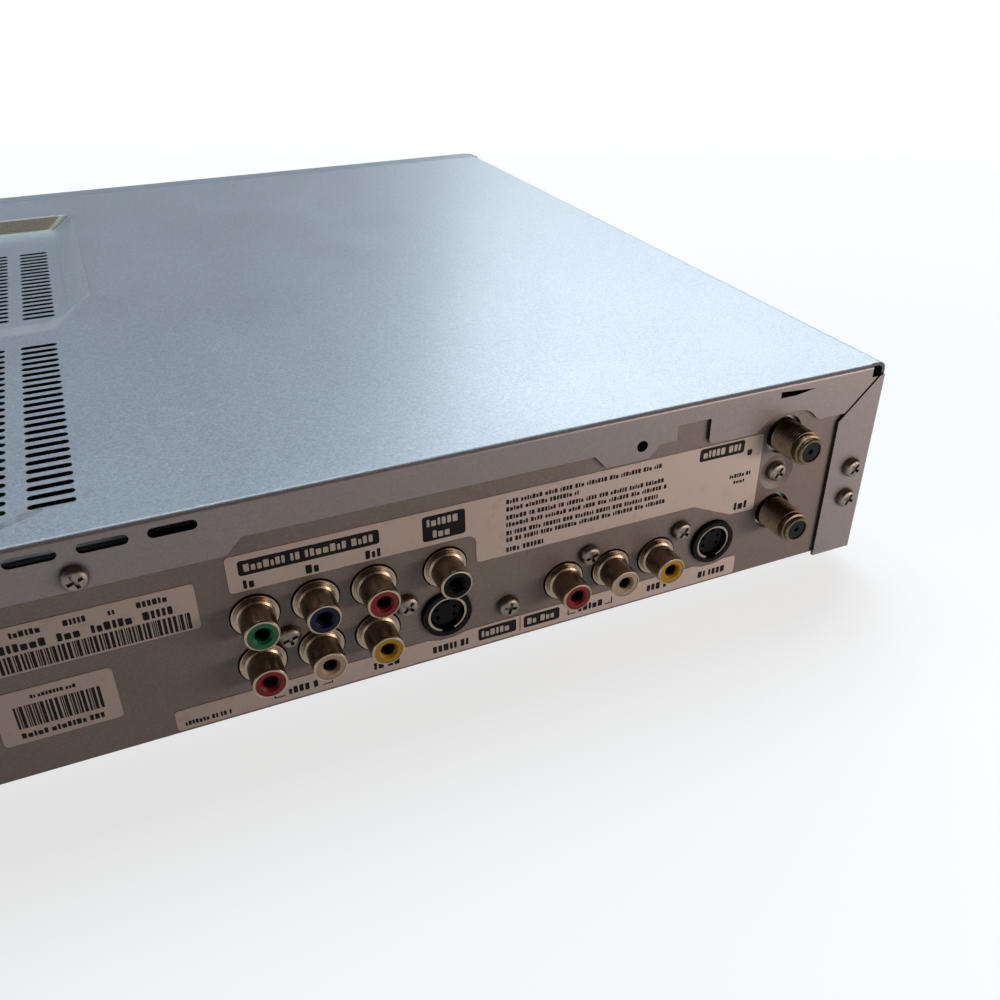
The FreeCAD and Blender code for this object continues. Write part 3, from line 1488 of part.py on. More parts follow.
def make_drive_cover():
    half = drive_width / 2
    z0 = drive_top
    lid = box(drive_x - half, drive_x + half, drive_front, drive_back, z0, z0 + lid_sheet)
    rims = []
    for s in (-1, 1):
        x0, x1 = sorted((drive_x + s * (half + slide_gap), drive_x + s * (half + slide_gap + lid_sheet)))
        rims.append(box(x0, x1, drive_front, drive_back, z0 - 8, z0 + lid_sheet))
        x0, x1 = sorted((drive_x + s * (half - 1), drive_x + s * (half + slide_gap + lid_sheet)))
        rims.append(box(x0, x1, drive_front, drive_back, z0, z0 + lid_sheet))
    boss = turned_up(((z0 + lid_sheet - 0.2, 17), (z0 + lid_sheet + 1, 19), (z0 + lid_sheet + 1, 22),
                      (z0 + lid_sheet - 0.2, 24)), drive_x, disc_y)
    cover = join([lid, boss] + rims)
    return cover.cut(post(drive_x, disc_y, z0 - 1, z0 + 4, clamper_diameter + 1.2))


def rack_tooth_row():
    """Toothed rib under the tray, along its edge."""
    pitch = 2 * math.pi * rack_pitch_radius / rack_teeth
    module = pitch / math.pi
    z0 = tray_bottom - rack_height
    line = drive_x + rack_reach
    root = line - 1.2 * module
    gear_y = gear_place()[1]
    first = gear_y - 2.5 * pitch
    count = int(tray_travel / pitch) + 4
    half = 0.2 * pitch
    slope = math.tan(math.radians(20))
    parts = [box(root - 2.2, root + 0.05, first - 3, first + count * pitch + 3, z0, tray_bottom + 0.1)]
    for i in range(count):
        y = first + (i + 0.5) * pitch
        tip = line + 0.9 * module
        base_half = half + (line - root) * slope
        tip_half = half - 0.9 * module * slope
        corners = ((root, y - base_half, 0), (tip, y - tip_half, 0), (tip, y + tip_half, 0),
                   (root, y + base_half, 0))
        parts.append(flat_plate(corners, z0, tray_bottom + 0.1))
    return parts


def make_disc_tray():
    half = tray_width / 2
    y0 = front_y + door_thickness
    y1 = y0 + tray_length
    body = box(drive_x - half, drive_x + half, y0, y1, tray_bottom, tray_top)
    hollow = box(drive_x - half + 3, drive_x + half - 3, y0 + 3, y1 + 1, tray_bottom - 1,
                 tray_top - small_well_depth - 1.6)
    keep = [box(drive_x + rack_reach - 5, drive_x + half, y0, y1, tray_bottom - 1, tray_top),
            box(drive_x - half, drive_x - 60, y0, y1, tray_bottom - 1, tray_top)]
    body = body.cut(hollow.cut(keep))
    body = join([body] + rack_tooth_row())
    wells = [post(drive_x, disc_y, tray_top - tray_well_depth, tray_top + 1, tray_well_diameter),
             post(drive_x, disc_y, tray_top - small_well_depth, tray_top + 1, small_well_diameter)]
    slot = [box(drive_x - tray_slot_width / 2, drive_x + tray_slot_width / 2, disc_y, y1 + 1,
                tray_bottom - 1, tray_top + 1),
            post(drive_x, disc_y, tray_bottom - 1, tray_top + 1, tray_slot_width)]
    finger = [box(drive_x + s * 50 - 11, drive_x + s * 50 + 11, disc_y - 62, disc_y - 30,
                  tray_top - tray_well_depth, tray_top + 1) for s in (-1, 1)]
    rear_step = box(drive_x - half + 8, drive_x + half - 8, disc_y + 64, y1 + 1, tray_top - tray_well_depth,
                    tray_top + 1)
    return cut(body, wells + slot + finger + [rear_step])


def make_traverse_frame():
    x0, x1 = drive_x - traverse_left, drive_x + traverse_right
    y0, y1 = disc_y - traverse_front, disc_y + traverse_rear
    z0 = traverse_bottom
    z1 = z0 + traverse_sheet
    plate = flat_plate(((x0, y0, 6), (x1, y0, 6), (x1, y1, 3), (x0, y1, 3)), z0, z1)
    window = box(drive_x - 33, drive_x + 32, disc_y + 15, disc_y + 84, z0 - 1, z1 + 1)
    blocks = []
    for y in (disc_y + 11.5, disc_y + 83.5):
        for s in (-1, 1):
            x = drive_x + s * rod_offset
            blocks.append(box(x - 3, x + 3, y, y + 3.5, z0 - 5, z0 + 0.5))
    pivot_y = disc_y + traverse_pivot_back
    pivot_z = z0 - traverse_pivot_drop
    bosses = []
    for a, b in ((x0, x0 + 8), (x1 - 8, x1)):
        bosses.append(bar(pivot_y, pivot_z, a, b, 6))
        bosses.append(box(a, b, pivot_y - 3, pivot_y + 3, pivot_z, z0 + 0.5))
    pins = [bar(pivot_y, pivot_z, x0 - 4, x0 + 2, traverse_pivot_diameter),
            bar(pivot_y, pivot_z, x1 - 2, x1 + 4, traverse_pivot_diameter)]
    motor_hanger = box(drive_x - screw_offset - 5, drive_x - screw_offset + 3, disc_y + 66, disc_y + 69,
                       z0 - 9, z0 + 0.5)
    front_bearing = box(drive_x - screw_offset - 3, drive_x - screw_offset + 3, disc_y + 12, disc_y + 15,
                        z0 - 7, z0 + 0.5)
    frame = join([plate] + blocks + bosses + pins + [motor_hanger, front_bearing])
    tools = [window]
    for s in (-1, 1):
        tools.append(rod(drive_x + s * rod_offset, rod_z(), disc_y + 12, disc_y + 86.5, rod_diameter + 0.04))
    tools.append(rod(drive_x - screw_offset, screw_z(), disc_y + 12.4, disc_y + 70,
                     lead_screw_diameter + 2 * pin_gap))
    return cut(frame, tools)


def rod_z():
    return traverse_bottom - rod_drop


def screw_z():
    return traverse_bottom - lead_screw_drop


def make_guide_rods():
    return group([rod(drive_x + s * rod_offset, rod_z(), disc_y + 12.2, disc_y + 86.4, rod_diameter)
                  for s in (-1, 1)])


def make_lead_screw():
    """Threaded rod beside the rods, turned by the sled motor."""
    radius = lead_screw_diameter / 2
    y0 = disc_y + 12.6
    y1 = disc_y + 68.6
    pitch = 3.0
    profile = [(y0, 0), (y0, radius), (y0 + 5, radius)]
    y = y0 + 5
    while y + pitch < y1 - 5:
        profile += [(y + 0.6, radius - 0.4), (y + 1.4, radius - 0.4), (y + 2.0, radius)]
        y += pitch
        profile.append((y, radius))
    profile += [(y1, radius), (y1, 0)]
    return turned(profile, drive_x - screw_offset, screw_z())


def make_sled_motor():
    y0 = disc_y + 69
    x = drive_x - screw_offset
    z = screw_z()
    can = rod(x, z, y0, y0 + 15, sled_motor_diameter)
    can = can.common(box(x - 10, x + 10, y0, y0 + 15, z - 4, traverse_bottom))
    return can.fuse(rod(x, z, y0 + 15, y0 + 15.8, 3)).removeSplitter()


def make_spindle_motor():
    z1 = traverse_bottom + traverse_sheet
    half = motor_base_width / 2
    base = flat_plate(((drive_x - half, disc_y - 15, 3), (drive_x + half, disc_y - 15, 3),
                       (drive_x + half, disc_y + 13, 3), (drive_x - half, disc_y + 13, 3)), z1, z1 + 1)
    can = post(drive_x, disc_y, z1 + 1, turntable_top - turntable_sheet - fit_gap, motor_can_diameter)
    shaft = post(drive_x, disc_y, z1 + 1, turntable_top + 1.2, spindle_diameter)
    return join([base, can, shaft])


def make_turntable():
    z0, z1 = turntable_top - turntable_sheet, turntable_top
    outer, cone = turntable_diameter / 2, cone_diameter / 2
    body = turned_up(((z0, 0), (z0, outer - 1), (z0 + 1, outer), (z1, outer), (z1, cone),
                      (z1 + cone_height * 0.4, cone), (z1 + cone_height, cone - cone_taper),
                      (z1 + cone_height, 0)), drive_x, disc_y)
    return body.cut(post(drive_x, disc_y, z0 - 1, turntable_top + 1.5, spindle_diameter + 2 * pin_gap))


def make_clamper():
    z0 = turntable_top + fit_gap
    z1 = drive_top + lid_sheet + fit_gap
    z2 = z1 + 0.9
    z3 = z2 + clamper_flange_sheet
    pocket = z0 + cone_height + 0.8
    hub, flange, cone = clamper_diameter / 2, clamper_flange / 2, cone_diameter / 2
    return turned_up(((z0, cone + 0.6), (z0, hub - 1), (z0 + 1, hub), (z1, hub), (z2, flange),
                      (z3, flange - 0.5), (z3, 0), (pocket, 0), (pocket, cone - 0.4)), drive_x, disc_y)


def make_optical_pickup():
    lens_y = disc_y + pickup_inner
    z0 = traverse_bottom - 5.5
    y0, y1 = lens_y - 8, lens_y + 22
    lower = box(drive_x - 24, drive_x + 24, y0, y1, z0, traverse_bottom + 4)
    upper = box(drive_x - 15, drive_x + 15, y0 + 1, y1 - 6, traverse_bottom + 3, traverse_bottom + 7.5)
    turret = post(drive_x, lens_y, traverse_bottom + 7, traverse_bottom + 8.6, 9)
    lens = turned_up(((traverse_bottom + 8.5, 0), (traverse_bottom + 8.5, 2.8), (traverse_bottom + 9.0, 2.8),
                      (traverse_bottom + 9.6, 1.2), (traverse_bottom + 9.6, 0)), drive_x, lens_y)
    arms = []
    for s in (-1, 1):
        x = drive_x + s * rod_offset
        reach = sorted((drive_x + s * 23.5, x + s * 2.8))
        for y in (y0 + 2, y1 - 6):
            arms.append(box(reach[0], reach[1], y, y + 4, z0, rod_z() + 2.4))
    follower = box(drive_x - screw_offset - 2.6, drive_x - rod_offset, y0 + 8, y0 + 13, screw_z() - 2.6,
                   screw_z() - lead_screw_diameter / 2 - 0.15)
    arm = box(drive_x - rod_offset - 4, drive_x - 23.5, y0 + 8, y0 + 13, screw_z() - 2.6,
              rod_z() - rod_diameter / 2 - 0.25)
    pickup = join([lower, upper, turret, lens, arm, follower] + arms)
    bore = rod_diameter + 2 * pin_gap
    return cut(pickup, [rod(drive_x + s * rod_offset, rod_z(), y0 - 1, y1 + 1, bore) for s in (-1, 1)])


def make_loading_motor():
    x, y = loading_motor_place()
    z0 = drive_bottom + loader_floor
    can = post(x, y, z0, z0 + loading_motor_height, loading_motor_diameter)
    nose = post(x, y, z0 + loading_motor_height - 0.1, z0 + loading_motor_height + 0.8, 6)
    shaft = post(x, y, z0 + loading_motor_height, pulley_bottom + pulley_height + 0.6, 2)
    return join([can, nose, shaft])


def pulley(x, y, radius, bore):
    """Grooved pulley with a bore."""
    z0 = pulley_bottom
    z1 = pulley_bottom + pulley_height
    middle = (z0 + z1) / 2
    half = belt_section / 2 + 0.15
    inner = radius - pulley_groove
    wheel = turned_up(((z0, 0), (z0, radius), (middle - half, radius), (middle - half, inner),
                       (middle + half, inner), (middle + half, radius), (z1, radius), (z1, 0)), x, y)
    return wheel.cut(post(x, y, z0 - 1, z1 + 1, bore))


def make_motor_pulley():
    x, y = loading_motor_place()
    return pulley(x, y, motor_pulley_radius, 2 + 2 * pin_gap)


def make_loading_gear():
    """Belt pulley below, pinion above, in mesh with the tray's rack."""
    x, y = gear_place()
    module = 2 * rack_pitch_radius / rack_teeth
    root = rack_pitch_radius - 1.25 * module
    tip = rack_pitch_radius + 0.85 * module
    pitch = math.pi * module
    z0 = pulley_bottom + pulley_height
    z1 = tray_bottom - 0.5
    slope = math.tan(math.radians(20))
    half = 0.2 * pitch
    parts = [pulley(x, y, gear_pulley_radius, 0.5), post(x, y, z0, z1, 2 * root)]
    for i in range(rack_teeth):
        base_half = half + (rack_pitch_radius - root) * slope
        tip_half = half - 0.85 * module * slope
        tooth = flat_plate(((-root + 0.3, -base_half, 0), (-root + 0.3, base_half, 0), (-tip, tip_half, 0),
                            (-tip, -tip_half, 0)), z0, z1)
        tooth.rotate(Vector(0, 0, 0), Vector(0, 0, 1), (i + 0.5) * 360 / rack_teeth)
        tooth.translate(Vector(x, y, 0))
        parts.append(tooth)
    return join(parts).cut(post(x, y, pulley_bottom - 1, z1 + 1, 4 + 2 * pin_gap))


def make_loading_belt():
    """Square belt round both pulleys, with its straight runs as outer tangents."""
    gx, gy = gear_place()
    mx, my = loading_motor_place()
    middle = pulley_bottom + pulley_height / 2
    z0, z1 = middle - belt_section / 2, middle + belt_section / 2

    def loop(extra):
        large = gear_pulley_radius - pulley_groove + extra
        small = motor_pulley_radius - pulley_groove + extra
        lean = math.asin((large - small) / (gx - mx))
        up = Vector(-math.sin(lean), math.cos(lean), 0)
        down = Vector(-math.sin(lean), -math.cos(lean), 0)
        big = Vector(gx, gy, z0)
        little = Vector(mx, my, z0)
        edges = [Part.Arc(big + down * large, big + Vector(large, 0, 0), big + up * large).toShape(),
                 Part.LineSegment(big + up * large, little + up * small).toShape(),
                 Part.Arc(little + up * small, little - Vector(small, 0, 0), little + down * small).toShape(),
                 Part.LineSegment(little + down * small, big + down * large).toShape()]
        return Part.Face(Part.Wire(edges))

    outer = loop(pin_gap + belt_section).extrude(Vector(0, 0, z1 - z0))
    inner = loop(pin_gap).extrude(Vector(0, 0, z1 - z0))
    return outer.cut(inner)


# Leads inside

def make_internal_cables():
    """Folded ribbon between the boards, the supply leads and the mains leads."""
    top = board_z + board_sheet
    ribbon = 0.4
    x0, x1 = 32.0, 58.0
    y_main = front_y + 162
    y_jack = panel_back - jack_board_depth + 6
    z = top + 16
    parts = [box(x0, x1, y_main - ribbon, y_main, top + socket_height, z),
             box(x0, x1, y_main - ribbon, y_jack + x1 - x0, z - ribbon, z),
             box(jack_ribbon_x, x1, y_jack, y_jack + x1 - x0, z, z + ribbon),
             box(jack_ribbon_x, jack_ribbon_x + ribbon, y_jack, y_jack + x1 - x0,
                 jack_board_top + socket_height, z + ribbon)]
    leads = [join(parts)]
    run_z = top + 10
    for i in range(5):
        x = 90.0 - 2.2 * i
        y = front_y + power_board_set_back + 32 + i * 5
        leads.append(join([post(106.0, y, top + socket_height + 1, run_z + lead_diameter / 2, lead_diameter),
                           bar(y, run_z, x - lead_diameter / 2, 106.0, lead_diameter),
                           rod(x, run_z, y_main, y, lead_diameter),
                           post(x, y_main, top + socket_height, run_z, lead_diameter)]))
    y = panel_face - inlet_body_depth
    for s in (-1, 1):
        x = from_side(inlet_distance) + s * inlet_pin_pitch / 2
        z = below_top(inlet_drop)
        leads.append(join([rod(x, z, y - 6, y, lead_diameter), post(x, y - 6, top, z, lead_diameter)]))
    return group(leads)


def build():
    """Every node of the recorder by name."""
    nodes = {
        "top_cover": make_top_cover, "rear_panel": make_rear_panel, "base_chassis": make_base_chassis,
        "standoffs": make_standoffs, "feet": make_feet, "case_screws": make_case_screws,
        "chassis_screws": make_chassis_screws,
        "panel_labels": make_panel_labels, "serial_labels": make_serial_labels,
        "output_jack_block": make_output_jack_block, "input_jack_block": make_input_jack_block,
        "jack_shells": make_jack_shells,
        "video_socket_shields": make_video_shields,
        "tuner_module": make_tuner_module,
        "ac_inlet": make_ac_inlet, "ac_inlet_pins": make_ac_inlet_pins,
        "fan_frame": make_fan_frame, "fan_rotor": make_fan_rotor,
        "main_board": make_main_board, "main_chips": make_main_chips, "power_board": make_power_board,
        "transformer": make_transformer, "capacitors": make_capacitors, "jack_board": make_jack_board,
        "internal_cables": make_internal_cables,
        "front_bezel": make_front_bezel, "display_window": make_display_window, "tray_front": make_tray_front,
        "front_flap": make_front_flap, "channel_rocker": make_channel_rocker,
        "display_board": make_display_board, "vfd_display": make_vfd_display,
        "front_input_block": make_front_input_block,
        "loader_frame": make_loader_frame, "drive_cover": make_drive_cover, "disc_tray": make_disc_tray,
        "traverse_frame": make_traverse_frame, "guide_rods": make_guide_rods, "lead_screw": make_lead_screw,
        "sled_motor": make_sled_motor, "spindle_motor": make_spindle_motor, "turntable": make_turntable,
        "clamper": make_clamper, "optical_pickup": make_optical_pickup, "loading_motor": make_loading_motor,
        "motor_pulley": make_motor_pulley, "loading_gear": make_loading_gear,
        "loading_belt": make_loading_belt,
    }
    shapes = {name: make() for name, make in nodes.items()}
    for colour in ("red", "white", "yellow", "green", "blue"):
        shapes["jack_inserts_" + colour] = group(inserts_of(colour))
    shapes["rf_connectors"] = group([rf_connector(drop) for drop in (rf_high_drop, rf_low_drop)])
    shapes["rf_insulators"] = group([rf_insulator(drop) for drop in (rf_high_drop, rf_low_drop)])
    for name, (x, z, width, height) in button_places().items():
        shapes[name] = make_button(x, z, width, height)
    return shapes


os.makedirs("parts", exist_ok=True)
for name, shape in build().items():
    shape.exportStep("parts/" + name + ".step")
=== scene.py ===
import json
import math

import bmesh
import bpy
from mathutils import Matrix, Vector


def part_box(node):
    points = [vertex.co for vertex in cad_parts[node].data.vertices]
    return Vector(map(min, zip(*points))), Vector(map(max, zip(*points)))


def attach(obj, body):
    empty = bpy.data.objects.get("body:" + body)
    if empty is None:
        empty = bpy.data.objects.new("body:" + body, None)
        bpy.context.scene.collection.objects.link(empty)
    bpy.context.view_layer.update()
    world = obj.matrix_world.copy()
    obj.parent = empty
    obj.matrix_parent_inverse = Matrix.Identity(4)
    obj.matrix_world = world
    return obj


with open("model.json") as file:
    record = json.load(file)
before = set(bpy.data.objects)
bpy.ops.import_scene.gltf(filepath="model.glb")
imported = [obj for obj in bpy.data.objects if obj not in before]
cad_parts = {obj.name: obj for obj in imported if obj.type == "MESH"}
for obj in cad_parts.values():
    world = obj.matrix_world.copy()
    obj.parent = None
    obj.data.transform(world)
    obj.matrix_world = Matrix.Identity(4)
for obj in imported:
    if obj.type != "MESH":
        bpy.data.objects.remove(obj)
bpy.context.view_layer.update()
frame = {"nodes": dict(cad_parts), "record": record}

MM = 0.001


def corners_of(node):
    """Lowest and highest corner of a CAD node, in millimetres."""
    return [[round(value / MM, 3) for value in corner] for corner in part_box(node)]


cover_low, cover_high = corners_of("top_cover")
WIDTH = round(cover_high[0] - cover_low[0], 3)
TOP = cover_high[2]
LABEL_FACE = corners_of("panel_labels")[1][1]
INK = 0.03
PHONO_TIP = corners_of("jack_shells")[1][1]

scene = bpy.context.scene
scene.view_settings.view_transform = "Standard"


def material(name):
    """New material with its tree and its surface shader."""
    made = bpy.data.materials.new(name)
    made.use_nodes = True
    tree = made.node_tree
    return made, tree, tree.nodes["Principled BSDF"]


def add(tree, kind, settings=None, inputs=None):
    """Node with its settings and with values or links on its inputs, named or numbered."""
    made = tree.nodes.new(kind)
    for key, value in (settings or {}).items():
        setattr(made, key, value)
    for key, value in (inputs or {}).items():
        if isinstance(value, bpy.types.NodeSocket):
            tree.links.new(value, made.inputs[key])
        else:
            made.inputs[key].default_value = value
    return made


EVEN = (1.0, 1.0, 1.0)
ALONG_Y = (1.0, 0.03, 1.0)
ALONG_Z = (1.0, 1.0, 0.05)


def place(tree, stretch=EVEN):
    """Place on the object, in metres in the shared frame, stretched along each axis."""
    coordinates = add(tree, "ShaderNodeTexCoord")
    mapping = add(tree, "ShaderNodeMapping", {}, {"Vector": coordinates.outputs["Object"], "Scale": stretch})
    return mapping.outputs["Vector"]


def noise(tree, scale, detail=3.0, stretch=EVEN, roughness=0.5):
    """Soft random clouds from 0 to 1, with a given number to the metre."""
    return add(tree, "ShaderNodeTexNoise", {},
               {"Vector": place(tree, stretch), "Scale": scale, "Detail": detail,
                "Roughness": roughness}).outputs["Fac"]


def cells(tree, scale, output="Color"):
    """Random cells, with a given number to the metre."""
    return add(tree, "ShaderNodeTexVoronoi", {}, {"Vector": place(tree), "Scale": scale}).outputs[output]


def spread(tree, value, low, high, start=0.3, end=0.7):
    """Value mapped from start..end to low..high."""
    return add(tree, "ShaderNodeMapRange", {}, {"Value": value, "From Min": start, "From Max": end,
                                                "To Min": low, "To Max": high}).outputs["Result"]


def calculate(tree, operation, *values):
    """One step of arithmetic on values or links."""
    return add(tree, "ShaderNodeMath", {"operation": operation}, dict(enumerate(values))).outputs[0]


def times(tree, first, second):
    """Product of two values or links."""
    return calculate(tree, "MULTIPLY", first, second)


def within(tree, value, low, high):
    """1 where a value lies between two others."""
    return calculate(tree, "COMPARE", value, (low + high) / 2, (high - low) / 2)


def grey(tree, colour):
    """Grey value of a colour that is random for each cell."""
    return add(tree, "ShaderNodeSeparateColor", {}, {"Color": colour}).outputs["Red"]


# Numbers of the colour sockets of a mix node
FIRST_COLOUR, SECOND_COLOUR, MIXED_COLOUR = 6, 7, 2


def blend_colours(tree, factor, first, second, blend="MIX"):
    """Mix of two colours: the first where the factor is 0, the second where it is 1."""
    return add(tree, "ShaderNodeMix", {"data_type": "RGBA", "blend_type": blend},
               {"Factor": factor, FIRST_COLOUR: first, SECOND_COLOUR: second}).outputs[MIXED_COLOUR]


def shade(tree, colour, factor):
    """Colour times a grey factor or a tint."""
    return blend_colours(tree, 1.0, colour, factor, "MULTIPLY")


def bump(tree, height, strength, distance, before=None):
    """Surface relief from a height, on top of an earlier one."""
    inputs = {"Height": height, "Strength": strength, "Distance": distance}
    if before is not None:
        inputs["Normal"] = before
    return add(tree, "ShaderNodeBump", {}, inputs).outputs["Normal"]


def painted_crevice_shade(tree, colour, reach=1.5, darkest=0.4):
    """Colour, darker where another surface stands close: painted shade in corners and gaps."""
    openness = add(tree, "ShaderNodeAmbientOcclusion", {"samples": 8}, {"Distance": reach * MM}).outputs["AO"]
    return shade(tree, colour, spread(tree, openness, darkest, 1.0, 0.45, 0.9))


def rgb(r, g, b):
    """Colour given in screen values from 0 to 255, turned into scene values."""
    return tuple(((v / 255 + 0.055) / 1.055) ** 2.4 if v > 10 else v / 3294.6 for v in (r, g, b)) + (1.0,)


# Grain of the lacquer: cells, clouds or scratches to the metre
FLAKES = 2300.0
SPARKLES = 2900.0
PAINT_CLOUDS = 9.0
WARM_PATCHES = 14.0
SCRATCHES = 46.0
SCRATCHED_PATCHES = 17.0
HANDLING_MARKS = 42.0
ORANGE_PEEL = 700.0
SCRATCH_COLOUR = rgb(206, 210, 214)


def metallic_paint(name, colour, flake=0.15, metal=0.22, rough=(0.38, 0.43), warm=None, coat=0.4):
    """Silver lacquer: fine flakes, faint clouds, handling marks and hairline scratches."""
    made, tree, shader = material(name)
    flakes = grey(tree, cells(tree, FLAKES))
    sparkle = grey(tree, cells(tree, SPARKLES))
    base = shade(tree, colour, calculate(tree, "ADD", spread(tree, flakes, 1 - flake, 1 + flake, 0.0, 1.0),
                                         spread(tree, sparkle, 0.0, 1.6 * flake, 0.84, 0.94)))
    base = shade(tree, base, spread(tree, noise(tree, PAINT_CLOUDS, 4.0), 0.975, 1.02))
    if warm:
        patches = spread(tree, noise(tree, WARM_PATCHES, 5.0), 0.0, 0.5, 0.45, 0.7)
        base = blend_colours(tree, patches, base, warm)
    edges = add(tree, "ShaderNodeTexVoronoi", {"feature": "DISTANCE_TO_EDGE"},
                {"Vector": place(tree, (1.0, 0.35, 1.0)), "Scale": SCRATCHES}).outputs["Distance"]
    scratched = times(tree, spread(tree, edges, 1.0, 0.0, 0.0, 0.004),
                      spread(tree, noise(tree, SCRATCHED_PATCHES, 2.0), 0.0, 1.0, 0.56, 0.66))
    base = blend_colours(tree, times(tree, scratched, 0.3), base, SCRATCH_COLOUR)
    # painted shade where another surface stands close
    tree.links.new(painted_crevice_shade(tree, base), shader.inputs["Base Color"])
    smears = noise(tree, HANDLING_MARKS, 6.0, (1.0, 0.6, 1.0), 0.62)
    tree.links.new(spread(tree, smears, rough[0], rough[1], 0.35, 0.7), shader.inputs["Roughness"])
    shader.inputs["Metallic"].default_value = metal
    shader.inputs["Coat Weight"].default_value = coat
    shader.inputs["Coat Roughness"].default_value = 0.3
    relief = bump(tree, flakes, 0.2, 0.04 * MM)
    relief = bump(tree, noise(tree, ORANGE_PEEL, 2.0), 0.1, 0.06 * MM, relief)
    tree.links.new(bump(tree, scratched, -0.25, 0.08 * MM, relief), shader.inputs["Normal"])
    return made


def plastic(name, colour, rough=(0.4, 0.55), grain=1800.0, depth=0.12, mottled=0.06, coat=0.0, specular=0.5):
    """Moulded plastic with a fine grain, slight mottling and uneven sheen."""
    made, tree, shader = material(name)
    shader.inputs["Specular IOR Level"].default_value = specular
    base = shade(tree, colour, spread(tree, noise(tree, 60.0, 4.0), 1 - mottled, 1 + mottled))
    tree.links.new(base, shader.inputs["Base Color"])
    tree.links.new(spread(tree, noise(tree, 90.0, 5.0), rough[0], rough[1]), shader.inputs["Roughness"])
    shader.inputs["Coat Weight"].default_value = coat
    shader.inputs["Coat Roughness"].default_value = 0.08
    fine = bump(tree, noise(tree, grain, 2.0), depth, 0.05 * MM)
    tree.links.new(bump(tree, noise(tree, 40.0, 2.0), 0.05, 0.4 * MM, fine), shader.inputs["Normal"])
    return made


def metal(name, colour, tarnish, rough=(0.2, 0.38), lines=EVEN, line_scale=900.0, depth=0.1, patchy=0.5):
    """Bare or plated metal with tool lines along one direction and tarnish in patches."""
    made, tree, shader = material(name)
    patches = spread(tree, noise(tree, 420.0, 5.0, roughness=0.65), 0.0, patchy, 0.42, 0.68)
    base = blend_colours(tree, patches, colour, tarnish)
    base = shade(tree, base, spread(tree, noise(tree, line_scale, 2.0, lines), 0.93, 1.05))
    tree.links.new(base, shader.inputs["Base Color"])
    tree.links.new(spread(tree, noise(tree, 700.0, 4.0), rough[0], rough[1]), shader.inputs["Roughness"])
    shader.inputs["Metallic"].default_value = 1.0
    tree.links.new(bump(tree, noise(tree, line_scale, 3.0, lines), depth, 0.05 * MM), shader.inputs["Normal"])
    return made


def circuit_board(name):
    """Green solder mask with darker copper runs and small pads."""
    made, tree, shader = material(name)
    runs = add(tree, "ShaderNodeTexBrick", {},
               {"Vector": place(tree), "Scale": 260.0, "Mortar Size": 0.09, "Color1": (1, 1, 1, 1),
                "Color2": (0.6, 0.6, 0.6, 1), "Mortar": (0, 0, 0, 1)})
    mask = grey(tree, runs.outputs["Color"])
    base = blend_colours(tree, mask, rgb(22, 70, 38), rgb(34, 96, 52))
    pads = spread(tree, cells(tree, 330.0, "Distance"), 1.0, 0.0, 0.10, 0.16)
    chosen = spread(tree, grey(tree, cells(tree, 330.0)), 0.0, 1.0, 0.8, 0.82)
    base = blend_colours(tree, times(tree, pads, chosen), base, rgb(186, 180, 150))
    tree.links.new(base, shader.inputs["Base Color"])
    tree.links.new(spread(tree, noise(tree, 120.0, 3.0), 0.3, 0.5), shader.inputs["Roughness"])
    tree.links.new(bump(tree, mask, 0.3, 0.04 * MM), shader.inputs["Normal"])
    return made


def film(name, colour):
    """Printed label film, a little dirty and scuffed."""
    made, tree, shader = material(name)
    base = shade(tree, colour, spread(tree, noise(tree, 35.0, 5.0), 0.95, 1.03))
    dirt = spread(tree, noise(tree, 260.0, 6.0, roughness=0.7), 0.0, 0.3, 0.55, 0.75)
    base = blend_colours(tree, dirt, base, rgb(120, 108, 96))
    # painted shade where another surface stands close
    tree.links.new(painted_crevice_shade(tree, base), shader.inputs["Base Color"])
    tree.links.new(spread(tree, noise(tree, 80.0, 4.0), 0.42, 0.6), shader.inputs["Roughness"])
    tree.links.new(bump(tree, noise(tree, 500.0, 3.0), 0.08, 0.04 * MM), shader.inputs["Normal"])
    return made


silver = metallic_paint("silver_paint", rgb(147, 150, 157))
